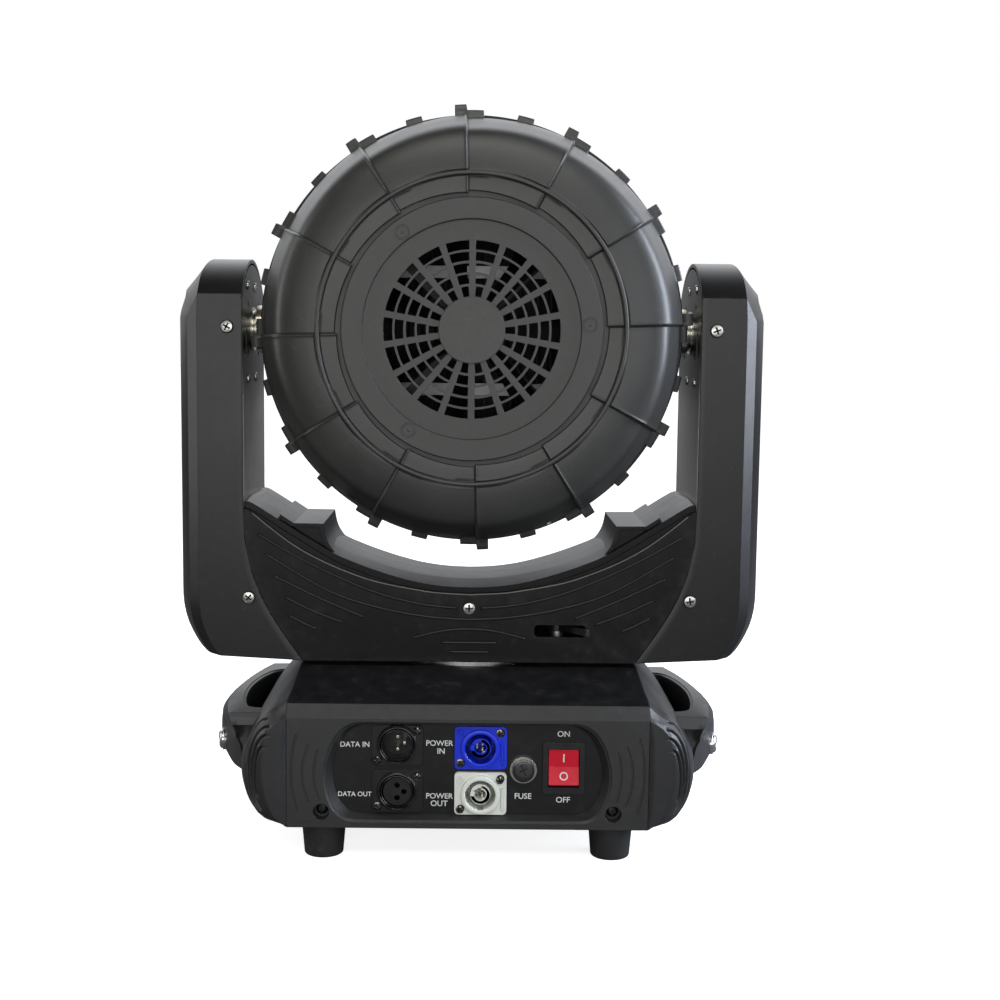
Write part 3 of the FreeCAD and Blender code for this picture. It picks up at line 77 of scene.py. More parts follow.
# ------------------------------------------------------------------ shader trees
class Shader:
    """A material's or world's node tree, built from nothing."""

    def __init__(self, owner, output_kind):
        self.owner = owner
        owner.use_nodes = True
        self.tree = owner.node_tree
        self.tree.nodes.clear()
        self.out = self.tree.nodes.new(output_kind)

    def put(self, socket, value):
        """Link value if it is a socket, otherwise set it."""
        if hasattr(value, "links"):
            self.tree.links.new(value, socket)
        else:
            socket.default_value = value

    def node(self, kind, **settings):
        """New node; settings are input sockets (with _ for a space) or properties."""
        node = self.tree.nodes.new(kind)
        for key, value in settings.items():
            socket_name = key.replace("_", " ")
            if socket_name in node.inputs:
                self.put(node.inputs[socket_name], value)
            else:
                setattr(node, key, value)
        return node

    @cached_property
    def coords(self):
        return self.node("ShaderNodeTexCoord").outputs["Object"]

    def stretch(self, scale):
        return self.node("ShaderNodeMapping", Scale=scale, Vector=self.coords).outputs["Vector"]

    def noise(self, scale, detail=3.0, rough=0.55, vector=None):
        node = self.node("ShaderNodeTexNoise", Scale=scale, Detail=detail, Roughness=rough,
                         Vector=vector or self.coords)
        return node.outputs["Fac"]

    def ramp(self, factor, *stops):
        """Grey ramp; the two stops are (position, grey)."""
        node = self.node("ShaderNodeValToRGB", Fac=factor)
        for element, (position, grey) in zip(node.color_ramp.elements, stops):
            element.position = position
            element.color = (grey, grey, grey, 1)
        return node.outputs["Color"]

    def map_range(self, value, from_min, from_max, to_min, to_max):
        node = self.node("ShaderNodeMapRange", interpolation_type="SMOOTHSTEP", Value=value,
                         From_Min=from_min, From_Max=from_max, To_Min=to_min, To_Max=to_max)
        return node.outputs["Result"]

    def math(self, operation, a, b, clamp=False):
        node = self.node("ShaderNodeMath", operation=operation, use_clamp=clamp)
        self.put(node.inputs[0], a)
        self.put(node.inputs[1], b)
        return node.outputs[0]

    def add(self, a, b, clamp=False):
        return self.math("ADD", a, b, clamp)

    def times(self, a, b):
        return self.math("MULTIPLY", a, b)

    def mix(self, factor, a, b):
        """Mix two colours, each a socket or three numbers."""
        node = self.node("ShaderNodeMix", data_type="RGBA")
        self.put(node.inputs[0], factor)
        self.put(node.inputs[6], a if hasattr(a, "links") else tuple(a) + (1,))
        self.put(node.inputs[7], b if hasattr(b, "links") else tuple(b) + (1,))
        return node.outputs[2]

    def mix_shader(self, factor, a, b):
        node = self.node("ShaderNodeMixShader")
        for socket, value in zip(node.inputs, (factor, a, b)):
            self.put(socket, value)
        return node.outputs[0]

    def bump(self, height, strength, distance, normal=None):
        node = self.node("ShaderNodeBump", Strength=strength, Distance=distance, Height=height)
        if normal is not None:
            self.put(node.inputs["Normal"], normal)
        return node.outputs["Normal"]

    def round_edge(self, radius):
        """Normal that rounds sharp edges; None for no radius."""
        if radius == 0:
            return None
        return self.node("ShaderNodeBevel", Radius=radius, samples=3).outputs["Normal"]

    def edge_mask(self):
        geometry = self.node("ShaderNodeNewGeometry")
        return self.ramp(geometry.outputs["Pointiness"], (0.52, 0.0), (0.60, 1.0))

    def camera_ray(self):
        return self.node("ShaderNodeLightPath").outputs["Is Camera Ray"]

    def finish(self, shader):
        self.put(self.out.inputs["Surface"], shader)
        return self.owner

    def principled(self, **inputs):
        return self.finish(self.node("ShaderNodeBsdfPrincipled", **inputs).outputs[0])


def new_material(name):
    return Shader(bpy.data.materials.new(name), "ShaderNodeOutputMaterial")


def scaled(colour, factor, lift=0.0):
    return [min(1, x * factor + lift) for x in colour]


# ------------------------------------------------------------------ materials
SHEEN = 0.08                       # how far the roughness of plastic wanders
DUST_COLOUR = (0.45, 0.45, 0.43)
UPWARD_FADE_COLOUR = (0.012, 0.012, 0.012)


def plastic(name, colour, rough=0.45, grain=1500.0, bump=0.35, spread=0.12, wear=0.10,
            specular=0.5, dust=0.02, edge=0.0005):
    """Moulded plastic with a fine grain, uneven sheen, faint scuffs and rubbed edges."""
    mat = new_material(name)
    broad = mat.noise(scale=16.0, detail=4.0, rough=0.6)
    medium = mat.noise(scale=120.0, detail=3.0, rough=0.6)
    fine = mat.noise(scale=grain, detail=2.0, rough=0.65)
    pits = mat.node("ShaderNodeTexVoronoi", Scale=grain * 0.62, Vector=mat.coords)
    streaks = mat.noise(scale=90.0, detail=2.0, rough=0.5, vector=mat.stretch((1.0, 9.0, 22.0)))
    scratches = mat.ramp(streaks, (0.66, 0.0), (0.70, 1.0))
    # colour: broad clouds, light grain, rubbed edges, then dust
    tint = mat.mix(mat.ramp(broad, (0.35, 0.0), (0.65, 1.0)),
                   [x * (1 - spread) for x in colour], scaled(colour, 1 + spread))
    speckle = mat.times(mat.ramp(fine, (0.45, 0.0), (0.75, 1.0)), 0.22)
    tint = mat.mix(speckle, tint, scaled(colour, 2.2, lift=0.01))
    patches = mat.times(mat.ramp(medium, (0.35, 0.2), (0.7, 1.0)), wear)
    tint = mat.mix(mat.times(mat.edge_mask(), patches), tint, scaled(colour, 3.0, lift=0.06))
    dusty = mat.times(mat.ramp(medium, (0.6, 0.0), (0.8, 1.0)), dust)
    tint = mat.mix(dusty, tint, DUST_COLOUR)
    # roughness: two noises, less where scratched
    sheen = mat.add(rough - SHEEN, mat.times(broad, SHEEN * 1.2))
    sheen = mat.add(sheen, mat.times(medium, SHEEN * 0.8))
    sheen = mat.math("SUBTRACT", sheen, mat.times(scratches, 0.02), clamp=True)
    normal = mat.round_edge(edge)
    relief = mat.add(fine, mat.times(pits.outputs["Distance"], 0.6))
    normal = mat.bump(relief, strength=bump, distance=0.00008, normal=normal)
    normal = mat.bump(medium, strength=0.10, distance=0.0002, normal=normal)
    return mat.principled(Base_Color=tint, Roughness=sheen, Specular_IOR_Level=specular,
                          Normal=normal)


def metal(name, colour, rough=0.3, grain=900.0, brushed=None, bump=0.15, spread=0.12,
          tarnish=(0.2, 0.19, 0.17), tarnished=0.15, metallic=1.0, edge=0.0002, black_above=None):
    """Metal with brushed or cast grain, uneven sheen and slight tarnish.

    brushed stretches the grain; black_above is the (low, high) z of a fade to black.
    """
    mat = new_material(name)
    broad = mat.noise(scale=30.0, detail=4.0, rough=0.6)
    vector = mat.stretch(brushed) if brushed else None
    fine = mat.noise(scale=grain, detail=3.0, rough=0.6, vector=vector)
    tint = mat.mix(mat.ramp(broad, (0.45, 0.0), (0.8, tarnished)), colour, tarnish)
    tint = mat.mix(mat.times(fine, spread), tint, scaled(colour, 1.3))
    # the colour darkens to near black towards the top
    if black_above:
        position = mat.node("ShaderNodeNewGeometry").outputs["Position"]
        height = mat.node("ShaderNodeSeparateXYZ", Vector=position).outputs["Z"]
        fade = mat.map_range(height, *black_above, to_min=0.0, to_max=0.88)
        tint = mat.mix(fade, tint, UPWARD_FADE_COLOUR)
    sheen = mat.add(rough * 0.75, mat.times(fine, rough * 0.5))
    sheen = mat.add(sheen, mat.times(broad, 0.06), clamp=True)
    normal = mat.bump(fine, strength=bump, distance=0.00005, normal=mat.round_edge(edge))
    return mat.principled(Base_Color=tint, Metallic=metallic, Roughness=sheen, Normal=normal)


def glass_parts(name, rough):
    """What the lens and the screen share: noises, roughness and normal."""
    mat = new_material(name)
    fine = mat.noise(scale=700.0, detail=2.0)
    broad = mat.noise(scale=40.0, detail=3.0)
    sheen = mat.add(rough, mat.times(broad, 0.05))
    normal = mat.bump(fine, strength=0.05, distance=0.00004)
    return mat, fine, broad, sheen, normal


def lens(name, colour, rough):
    mat, _, broad, sheen, normal = glass_parts(name, rough)
    tint = mat.mix(broad, colour, [x * 0.94 for x in colour])
    return mat.principled(Base_Color=tint, Roughness=sheen, IOR=1.49, Transmission_Weight=0.92,
                          Normal=normal)


def screen(name, colour, rough):
    mat, fine, _, sheen, normal = glass_parts(name, rough)
    speckle = mat.ramp(fine, (0.5, 0.0), (0.8, 0.3))
    tint = mat.mix(speckle, colour, [x * 1.6 + 0.01 for x in colour])
    return mat.principled(Base_Color=tint, Roughness=sheen, Coat_Weight=0.8,
                          Coat_Roughness=0.05, Normal=normal)


def linear(*levels):
    """Linear colour from sRGB levels of 0 to 255."""
    colour = []
    for level in levels:
        x = level / 255.0
        colour.append(x / 12.92 if x <= 0.04045 else ((x + 0.055) / 1.055) ** 2.4)
    return tuple(colour)


# name, kind, sRGB colour, settings that differ from the kind's own
MATERIAL_TABLE = [
    ("shell_plastic", plastic, (36, 36, 36), dict(rough=0.42)),
    ("yoke_plastic", plastic, (6, 6, 7), dict(rough=0.34, wear=0.16, specular=0.18)),
    ("arm_plastic", plastic, (17, 16, 17), dict(rough=0.34, specular=0.36)),
    # much darker than the rest of the base: painted shade of the yoke over the base top
    ("cover_plastic", plastic, (8, 8, 11), dict(rough=0.42, specular=0.25)),
    ("head_plastic", plastic, (46, 46, 44), dict(rough=0.40, grain=1300)),
    ("grille_plastic", plastic, (48, 48, 46), dict(rough=0.47, grain=1200, bump=0.5)),
    ("cap_plastic", plastic, (34, 34, 35), dict(rough=0.40)),
    ("handle_plastic", plastic, (38, 38, 39), dict(rough=0.42)),
    ("foot_rubber", plastic, (26, 26, 26),
     dict(rough=0.68, grain=900, bump=0.5, dust=0.06, edge=0.0006)),
    ("panel_black", plastic, (17, 17, 18),
     dict(rough=0.34, specular=0.35, grain=2200, bump=0.2, wear=0.05, edge=0.0)),
    ("socket_black", plastic, (16, 16, 17), dict(rough=0.32, grain=1800, bump=0.15, edge=0.0003)),
    ("blue_plastic", plastic, (14, 48, 214),
     dict(rough=0.30, grain=1800, bump=0.12, spread=0.05, wear=0.05, dust=0.0, edge=0.0003)),
    ("white_plastic", plastic, (226, 230, 221),
     dict(rough=0.34, grain=1800, bump=0.12, spread=0.03, wear=0.0, dust=0.0, edge=0.0003)),
    ("rocker_red", plastic, (206, 18, 44),
     dict(rough=0.22, bump=0.10, spread=0.05, wear=0.03, dust=0.0, edge=0.0004)),
    ("fuse_cap_black", plastic, (18, 18, 18),
     dict(rough=0.28, grain=1800, bump=0.15, edge=0.0003)),
    ("fuse_face", plastic, (52, 52, 54), dict(rough=0.3, grain=1800, bump=0.15, edge=0.0)),
    ("button_black", plastic, (34, 35, 38), dict(rough=0.5, bump=0.3, edge=0.0003)),
    ("lever_black", plastic, (20, 20, 21), dict(rough=0.35, bump=0.2)),
    ("fan_black", plastic, (2, 2, 4),
     dict(rough=0.42, bump=0.2, wear=0.0, specular=0.25, dust=0.0, edge=0.0003)),
    ("carrier_black", plastic, (24, 24, 24), dict(grain=1200, bump=0.3)),
    ("belt_rubber", plastic, (20, 20, 20), dict(rough=0.7, grain=900, bump=0.5)),
    ("circuit_board", plastic, (18, 70, 38), dict(rough=0.35, grain=700, bump=0.3, wear=0.0)),
    ("supply_case", metal, (170, 172, 172), dict(rough=0.38, grain=300, brushed=(1, 14, 1))),
    ("plate_steel", plastic, (28, 28, 28), dict(rough=0.5, grain=700, bump=0.5)),
    # the yoke frame is darker towards the top, to near black
    ("frame_steel", metal, (200, 200, 192),
     dict(rough=0.38, grain=260, brushed=(1, 1, 10), bump=0.2, tarnished=0.3,
          black_above=(0.268, 0.305))),
    ("head_frame_steel", metal, (150, 152, 152), dict(rough=0.4)),
    ("hub_aluminium", metal, (190, 190, 188), dict(rough=0.34)),
    ("bearing_steel", metal, (205, 205, 200), dict(rough=0.22)),
    # light colour that paints the highlight along the upper lip of the yoke covers
    ("edge_light", plastic, (104, 102, 94),
     dict(rough=0.34, bump=0.1, wear=0.0, dust=0.0, edge=0.0)),
    ("screw_bright", metal, (176, 175, 170),
     dict(rough=0.24, grain=1800, bump=0.12, spread=0.05)),
    ("screw_chrome", metal, (214, 213, 208),
     dict(rough=0.16, grain=1800, bump=0.12, spread=0.05)),
    # black that paints shade: the gaps between the head tabs, slots and the gaps round screw
    # heads
    ("rim_black", plastic, (14, 14, 17), dict(grain=1400, specular=0.3)),
    ("socket_gloss", plastic, (15, 15, 16),
     dict(rough=0.20, grain=1800, bump=0.1, wear=0.12, edge=0.0)),
    ("screw_dark", metal, (128, 124, 116),
     dict(rough=0.24, grain=1600, spread=0.1, tarnished=0.3, edge=0.0)),
    ("screw_steel", metal, (170, 168, 164), dict(rough=0.28)),
    ("black_screw", metal, (60, 60, 62), dict(rough=0.3, grain=1800)),
    ("fuse_ring", metal, (206, 204, 196), dict(rough=0.18, grain=1500)),
    ("shaft_chrome", metal, (210, 206, 190),
     dict(rough=0.18, tarnished=0.3, tarnish=(0.5, 0.42, 0.22))),
    ("motor_case", metal, (58, 58, 60), dict(rough=0.42, metallic=0.8)),
    ("pulley_aluminium", metal, (186, 186, 184), dict(rough=0.3)),
    ("heat_sink_aluminium", metal, (20, 22, 27), dict(rough=0.5, metallic=0.6)),
    ("led_board_white", plastic, (222, 222, 214),
     dict(rough=0.4, grain=900, bump=0.2, wear=0.0, dust=0.0)),
    ("contact_brass", metal, (226, 222, 204), dict(rough=0.2)),
    ("label_white", plastic, (226, 228, 226),
     dict(rough=0.5, grain=2500, bump=0.15, spread=0.03, wear=0.0, dust=0.0, edge=0.0)),
]
MATERIALS = {name: kind(name, linear(*levels), **settings)
             for name, kind, levels, settings in MATERIAL_TABLE}
MATERIALS["lens_clear"] = lens("lens_clear", (0.92, 0.94, 0.95), rough=0.03)
MATERIALS["screen_glass"] = screen("screen_glass", linear(16, 22, 40), rough=0.08)

# CAD pieces that look different from the rest of their slot
OWN_MATERIAL = {
    "yoke_frame": "frame_steel", "yoke_cover_near": "yoke_plastic",
    "yoke_cover_far": "yoke_plastic", "arm_cover_left": "arm_plastic",
    "arm_cover_right": "arm_plastic", "base_top_cover": "cover_plastic",
}


def dress_cad_pieces():
    """Give every CAD piece the material of its slot, or its own."""
    for name, piece in NODES.items():
        slots = piece.data.materials
        slot = slots[0].name.split(".")[0] if slots and slots[0] else "shell_plastic"
        slots.clear()
        slots.append(MATERIALS[OWN_MATERIAL.get(name, slot)])


# ------------------------------------------------------------------ mesh tools
# A mesh is a pair of lists: vertices in millimetres, and faces.
def make(name, mesh, material, part, sharp, replaces=False, merge=0.0):
    """Object that rides with the CAD piece `part` and may replace it.

    sharp is the angle in degrees above which an edge is not smoothed.
    """
    verts, faces = mesh
    data = bpy.data.meshes.new(name)
    data.from_pydata([(x * MM, y * MM, z * MM) for x, y, z in verts], [], faces)
    bm = bmesh.new()
    bm.from_mesh(data)
    if merge:
        bmesh.ops.remove_doubles(bm, verts=bm.verts, dist=merge * MM)
    bmesh.ops.recalc_face_normals(bm, faces=bm.faces)
    for face in bm.faces:
        face.smooth = True
    for edge in bm.edges:
        if len(edge.link_faces) == 2 and edge.calc_face_angle(0.0) > math.radians(sharp):
            edge.smooth = False
    bm.to_mesh(data)
    bm.free()
    obj = bpy.data.objects.new(name, data)
    bpy.context.scene.collection.objects.link(obj)
    data.materials.append(MATERIALS[material])
    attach(obj, NODES[part]["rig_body"])
    if replaces:
        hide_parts(part)
    return obj


def turn_faces_out(obj, side, from_x=0.0):
    """Flip the normals if most of them point towards the plane |x| = from_x (metres)."""
    outward = sum((face.center.x * side - from_x) * (face.normal.x * side) * face.area
                  for face in obj.data.polygons)
    if outward < 0:
        obj.data.flip_normals()


def add_wall(obj, thickness):
    wall = obj.modifiers.new("wall", "SOLIDIFY")
    wall.thickness = thickness
    wall.offset = -1.0


def grid_faces(rows, cols, close_rows=False, close_cols=False, start=0):
    """Faces over rows x cols vertices, joined round where asked."""
    faces = []
    for i in range(rows if close_rows else rows - 1):
        a = start + i * cols
        b = start + (i + 1) % rows * cols
        for k in range(cols if close_cols else cols - 1):
            m = (k + 1) % cols
            faces.append((a + k, a + m, b + m, b + k))
    return faces


def bar_faces(rows, cols):
    """Faces of a bar of closed sections with both ends filled."""
    last = (rows - 1) * cols
    return grid_faces(rows, cols, close_cols=True) + [
        tuple(range(cols)), tuple(last + k for k in range(cols))]


def join(parts):
    """One mesh from several."""
    all_verts, all_faces = [], []
    for verts, faces in parts:
        start = len(all_verts)
        all_verts += verts
        all_faces += [tuple(i + start for i in face) for face in faces]
    return all_verts, all_faces


def smooth(points, steps):
    """Catmull-Rom curve through the points, with `steps` pieces between each two."""
    out = []
    last = len(points) - 1
    for i in range(last):
        p0 = points[max(i - 1, 0)]
        p1, p2 = points[i], points[i + 1]
        p3 = points[min(i + 2, last)]
        for k in range(steps):
            t = k / steps
            out.append(tuple(
                0.5 * ((2 * p1[a]) + (-p0[a] + p2[a]) * t
                       + (2 * p0[a] - 5 * p1[a] + 4 * p2[a] - p3[a]) * t * t
                       + (-p0[a] + 3 * p1[a] - 3 * p2[a] + p3[a]) * t ** 3)
                for a in range(len(p1))))
    out.append(tuple(points[-1]))
    return out


def lengths_along(points):
    """Distance from the start of the line to each of its points."""
    along = [0.0]
    for a, b in zip(points, points[1:]):
        along.append(along[-1] + math.dist(a, b))
    return along


def resample(points, count):
    """`count` evenly spaced points along a line."""
    along = lengths_along(points)
    out, k = [], 0
    for i in range(count):
        s = along[-1] * i / (count - 1)
        while k < len(along) - 2 and along[k + 1] < s:
            k += 1
        t = min(1.0, max(0.0, (s - along[k]) / (along[k + 1] - along[k])))
        out.append(tuple(a + (b - a) * t for a, b in zip(points[k], points[k + 1])))
    return out


def smoothstep(t):
    t = min(1.0, max(0.0, t))
    return t * t * (3 - 2 * t)


def interpolate(table, value):
    """Second column of a table at a value of its first, held level beyond the ends."""
    if value <= table[0][0]:
        return table[0][1]
    for a, b in zip(table, table[1:]):
        if value <= b[0]:
            return a[1] + (b[1] - a[1]) * (value - a[0]) / (b[0] - a[0])
    return table[-1][1]


def lathe(profile, count, origin, axis, cut=None):
    """Piece turned about a roughly level axis from a profile of (radius, height along it).

    cut(radius, angle) lowers the height.
    """
    axis = Vector(axis).normalized()
    up = Vector((0, 0, 1)) - axis * axis.z
    up.normalize()
    across = axis.cross(up)
    origin = Vector(origin)
    verts = []
    for i in range(count):
        a = 2 * math.pi * i / count
        for r, h in profile:
            height = h - (cut(r, a) if cut else 0.0)
            verts.append(tuple(origin + axis * height + up * (r * math.cos(a))
                               + across * (r * math.sin(a))))
    return verts, grid_faces(count, len(profile), close_rows=True)


def torus(x, y, z, radius, thick, count=48, sides=8):
    """Ring about a Y axis; thick is the radius of its section."""
    profile = [(radius + thick * math.cos(2 * math.pi * k / sides),
                thick * math.sin(2 * math.pi * k / sides)) for k in range(sides)]
    profile.append(profile[0])
    return lathe(profile, count, (x, y, z), TOWARDS_NEAR)


BOX_FACES = [(0, 1, 2, 3), (4, 7, 6, 5), (0, 4, 5, 1), (1, 5, 6, 2), (2, 6, 7, 3), (3, 7, 4, 0)]


def box(x0, x1, y0, y1, z0, z1):
    return [(x, y, z) for z in (z0, z1)
            for x, y in ((x0, y0), (x1, y0), (x1, y1), (x0, y1))], BOX_FACES


def turned_bar(x, z, half_x, half_z, y0, y1, turn):
    """Box centred on x, z and turned about Y by `turn` radians."""
    verts, faces = box(-half_x, half_x, y0, y1, -half_z, half_z)
    c, s = math.cos(turn), math.sin(turn)
    return [(x + px * c - pz * s, y, z + px * s + pz * c) for px, y, pz in verts], faces


def screw_head(x, y, z, radius, tall, turn, axis=TOWARDS_NEAR):
    """Domed screw head with a cross cut in it."""
    reach = radius * 0.66
    half_width, blend, end_blend = 0.55 * 0.5, 0.16, 0.35
    depth = tall * 0.8

    def cross(r, angle):
        if r >= reach:
            return 0.0
        off = min(abs(r * math.sin(angle - turn)), abs(r * math.cos(angle - turn)))
        return (depth * (1.0 - smoothstep((off - half_width) / blend))
                * (1.0 - smoothstep((r - reach + end_blend) / end_blend)))

    dome_drop = 0.42
    step = 0.2
    profile = [(0.0, tall)]
    r = step
    while r < radius * 0.98:
        profile.append((r, tall - dome_drop * (r / radius) ** 2))
        r += step
    profile += [(radius * 0.985, tall * 0.52), (radius, tall * 0.35), (radius, -0.3)]
    return lathe(profile, 56, (x, y, z), axis, cut=cross)


def surface_y(part, x, z, miss=None):
    """Y of the -Y surface of a CAD piece here, or `miss` where there is none."""
    start = Vector((x * MM, -130.0 * MM, z * MM))
    found, place, _, _ = NODES[part].ray_cast(start, Vector((0, 1, 0)))
    return place.y / MM if found else miss


def surface_x(part, y, z, side):
    """X of the first surface met going outwards from |x| = 120, or None."""
    piece = NODES[part]
    inverse = piece.matrix_world.inverted()
    start = inverse @ Vector((side * 0.12, y * MM, z * MM))
    direction = (inverse.to_3x3() @ Vector((side, 0, 0))).normalized()
    found, place, _, _ = piece.ray_cast(start, direction)
    return (piece.matrix_world @ place).x * 1000.0 if found else None


# ------------------------------------------------------------------ rear casing
# Twelve equal sectors round the head, each sloping down to a step up into the next.
SECTORS = 12
SECTOR = 30.0             # degrees
FIRST_STEP = 1.8          # angle of the first step
STEP_WIDTH = 0.75         # degrees taken by the wall of a step
STEP_SCALE = 1.15         # mm for a height of 1
FLANK_R = 131.0
LOW_TAB, TALL_TAB = 4.1, 7.6
TALL_END = 3.2            # a tall tab runs from each step to this angle
MIDDLE_TAB = (12.0, 16.5)
LAST_TAB = 25.5           # a low tab runs from here to the next step

# places across an edge, in widths of it, then (angle, width) of each edge
EDGE_MARKS = [-1.35, -1.2, -1.0, -0.85, -0.7, -0.5, -0.42, -0.3, -0.12,
              0.12, 0.3, 0.42, 0.5, 0.7, 0.9, 1.15]
EDGES = [(0.0, STEP_WIDTH), (TALL_END, 0.2), (MIDDLE_TAB[0], 0.2), (MIDDLE_TAB[1], 0.2),
         (LAST_TAB, 0.2)]
PLAIN_MARKS = [1.0, 1.8, 2.6, 4.2, 5.6, 7.0, 8.4, 9.8, 11.0, 13.0, 14.2, 15.4, 17.6, 19.0,
               20.5, 22.0, 23.5, 24.6, 26.4, 27.5, 28.6]

# Section of the casing: radius, y, share of the step height, share of the tab height
CASING_CENTRE = [
    (81.2, -87.6, 0.0, 0.0), (81.2, -88.8, 1.0, 0.0), (81.25, -90.7, 1.0, 0.0),
    (81.6, -91.1, 1.0, 0.0), (83.5, -91.2, 1.0, 0.0), (86.0, -91.2, 1.0, 0.0),
    (88.5, -91.2, 1.0, 0.0), (90.3, -91.2, 1.0, 0.0), (90.5, -90.9, 0.8, 0.0),
    (90.9, -90.75, 0.5, 0.0), (91.0, -91.6, 0.1, 0.0), (91.05, -92.9, 0.0, 0.0),
    (91.3, -93.3, 0.0, 0.0), (91.8, -93.5, 0.0, 0.0), (92.6, -93.5, 0.0, 0.0),
    (93.1, -93.3, 0.0, 0.0), (93.4, -92.9, 0.0, 0.0), (93.5, -91.2, 0.1, 0.0),
    (93.6, -90.7, 0.5, 0.0), (94.2, -90.7, 0.8, 0.0),
]
# radius, y
CASING_DOME = [
    (94.7, -91.0), (99, -90.6), (105, -89.6), (110, -88.3), (114.0, -86.6), (116.8, -84.8),
    (118.8, -82.6), (120.4, -79.8), (121.9, -76.2), (123.9, -70.8), (126.1, -64.8),
    (128.1, -58.8), (129.8, -52.8), (130.7, -47.0),
]
CASING_FLANK = [
    (130.95, -44.8, 0.75, 0.0), (FLANK_R, -44.2, 0.55, 0.12), (FLANK_R, -43.9, 0.55, 0.55),
    (FLANK_R, -43.6, 0.55, 0.88), (FLANK_R, -43.0, 0.55, 1.0), (FLANK_R, -38, 0.55, 1.0),
    (FLANK_R, -30, 0.55, 1.0), (FLANK_R, -22.2, 0.55, 1.0), (FLANK_R, -21.6, 0.55, 0.985),
    (FLANK_R, -21.0, 0.55, 0.96), (130.6, -20.35, 0.0, 0.0),
]
# radius, y
CASING_INSIDE = [
    (128.4, -20.3), (128.4, -47.0), (127.6, -53.4), (125.7, -60.0), (122.9, -67.0),
    (119.1, -73.5), (114.7, -78.8), (109.6, -82.8), (104.1, -85.6), (98.5, -86.9), (92.0, -87.4),
]
INNER_RIM_R = 90.95       # inside this radius the steps rise straight along Y
HOLE_EDGE_POINTS = 4      # first points of the section, round the middle hole


def casing_angles():
    marks = list(PLAIN_MARKS)
    for centre, width in EDGES:
        marks += [centre + k * width for k in EDGE_MARKS]
    marks = {round(m, 4) for m in marks}
    return sorted({round(FIRST_STEP + 30 * k + m, 4) for k in range(SECTORS) for m in marks})


def step_height(angle):
    """Height of the stepped surface, about -1 to 1."""
    t = (angle - FIRST_STEP) % SECTOR
    if t > SECTOR - STEP_WIDTH / 2:
        t -= SECTOR
    if abs(t) <= STEP_WIDTH / 2:
        level = -1.0 + 2.0 * smoothstep((t + STEP_WIDTH / 2) / STEP_WIDTH)
    else:
        level = 1.0 - 2.0 * (t / SECTOR)
    # a low ridge on one side of the wall and a dip on the other
    return level + (0.34 * math.exp(-((t - 0.62) / 0.22) ** 2)
                    - 1.05 * math.exp(-((t + 0.62) / 0.26) ** 2))


def tab_height(angle):
    """How far the tabs stand out of the flank."""
    def edge(x, centre):
        return smoothstep((x - centre + 0.15) / 0.3)

    t = (angle - FIRST_STEP) % SECTOR
    if t > 29.99:
        t -= SECTOR
    if t < 0.15:
        return LOW_TAB + (TALL_TAB - LOW_TAB) * edge(t, 0.0)
    tall = TALL_TAB * edge(t, 0.0) * (1 - edge(t, TALL_END)) if t < 10 else 0.0
    middle = LOW_TAB * edge(t, MIDDLE_TAB[0]) * (1 - edge(t, MIDDLE_TAB[1]))
    last = LOW_TAB * edge(t, LAST_TAB) if t > 20 else 0.0
    return max(tall, middle, last)


def casing_section():
    """Section points, each with the direction (radial, y) in which a step moves it."""
    points = (CASING_CENTRE + [(r, y, 1.0, 0.0) for r, y in smooth(CASING_DOME, 4)]
              + CASING_FLANK + [(r, y, 0.0, 0.0) for r, y in CASING_INSIDE])
    section = []
    for i, (r, y, step, tab) in enumerate(points):
        if r < INNER_RIM_R and step > 0:
            out_r, out_y = 0.0, -1.0
        elif tab > 0:
            out_r, out_y = 1.0, 0.0
        else:
            a, b = points[i - 1], points[(i + 1) % len(points)]
            dr, dy = b[0] - a[0], b[1] - a[1]
            length = math.hypot(dr, dy)
            out_r, out_y = dy / length, -dr / length
        section.append((r, y, step, tab, out_r, out_y))
    return section


def rear_casing():
    section = casing_section()
    angles = casing_angles()
    verts = []
    for angle in angles:
        height = step_height(angle) * STEP_SCALE
        tab_out = tab_height(angle)
        ca, sa = math.cos(math.radians(angle)), math.sin(math.radians(angle))
        for i, (r, y, step, tab, out_r, out_y) in enumerate(section):
            if i < HOLE_EDGE_POINTS and step > 0:
                r -= 0.6 * height
            r += step * height * out_r
            y += step * height * out_y
            if tab > 0 and tab_out > 0.02:
                r += tab * (FLANK_R + tab_out + 0.35 - r)
            verts.append((r * ca, y, HEAD_Z + r * sa))
    faces = grid_faces(len(angles), len(section), close_rows=True, close_cols=True)
    make("casing_rear", (verts, faces), "head_plastic", "head_rear_shell",
         sharp=40, replaces=True)


# Black band that paints the shade seen in the gaps between the tabs: radius, y
GAP_SHADE_BAND = [(129.2, -37.0), (132.9, -37.0), (133.3, -36.6), (133.5, -35.8), (133.5, -21.2),
        (133.1, -20.6), (129.2, -20.6)]


def gap_shade_band():
    # Black ring behind the tabs: painted shade of the gaps between them.
    count = 240
    verts = []
    for i in range(count):
        a = 2 * math.pi * i / count
        verts += [(r * math.cos(a), y, HEAD_Z + r * math.sin(a)) for r, y in GAP_SHADE_BAND]
    faces = grid_faces(count, len(GAP_SHADE_BAND), close_rows=True, close_cols=True)
    make("gap_shade_band", (verts, faces), "rim_black", "head_rear_shell", sharp=40)


# ------------------------------------------------------------------ side caps
CAP_SEAM_X = 110.7
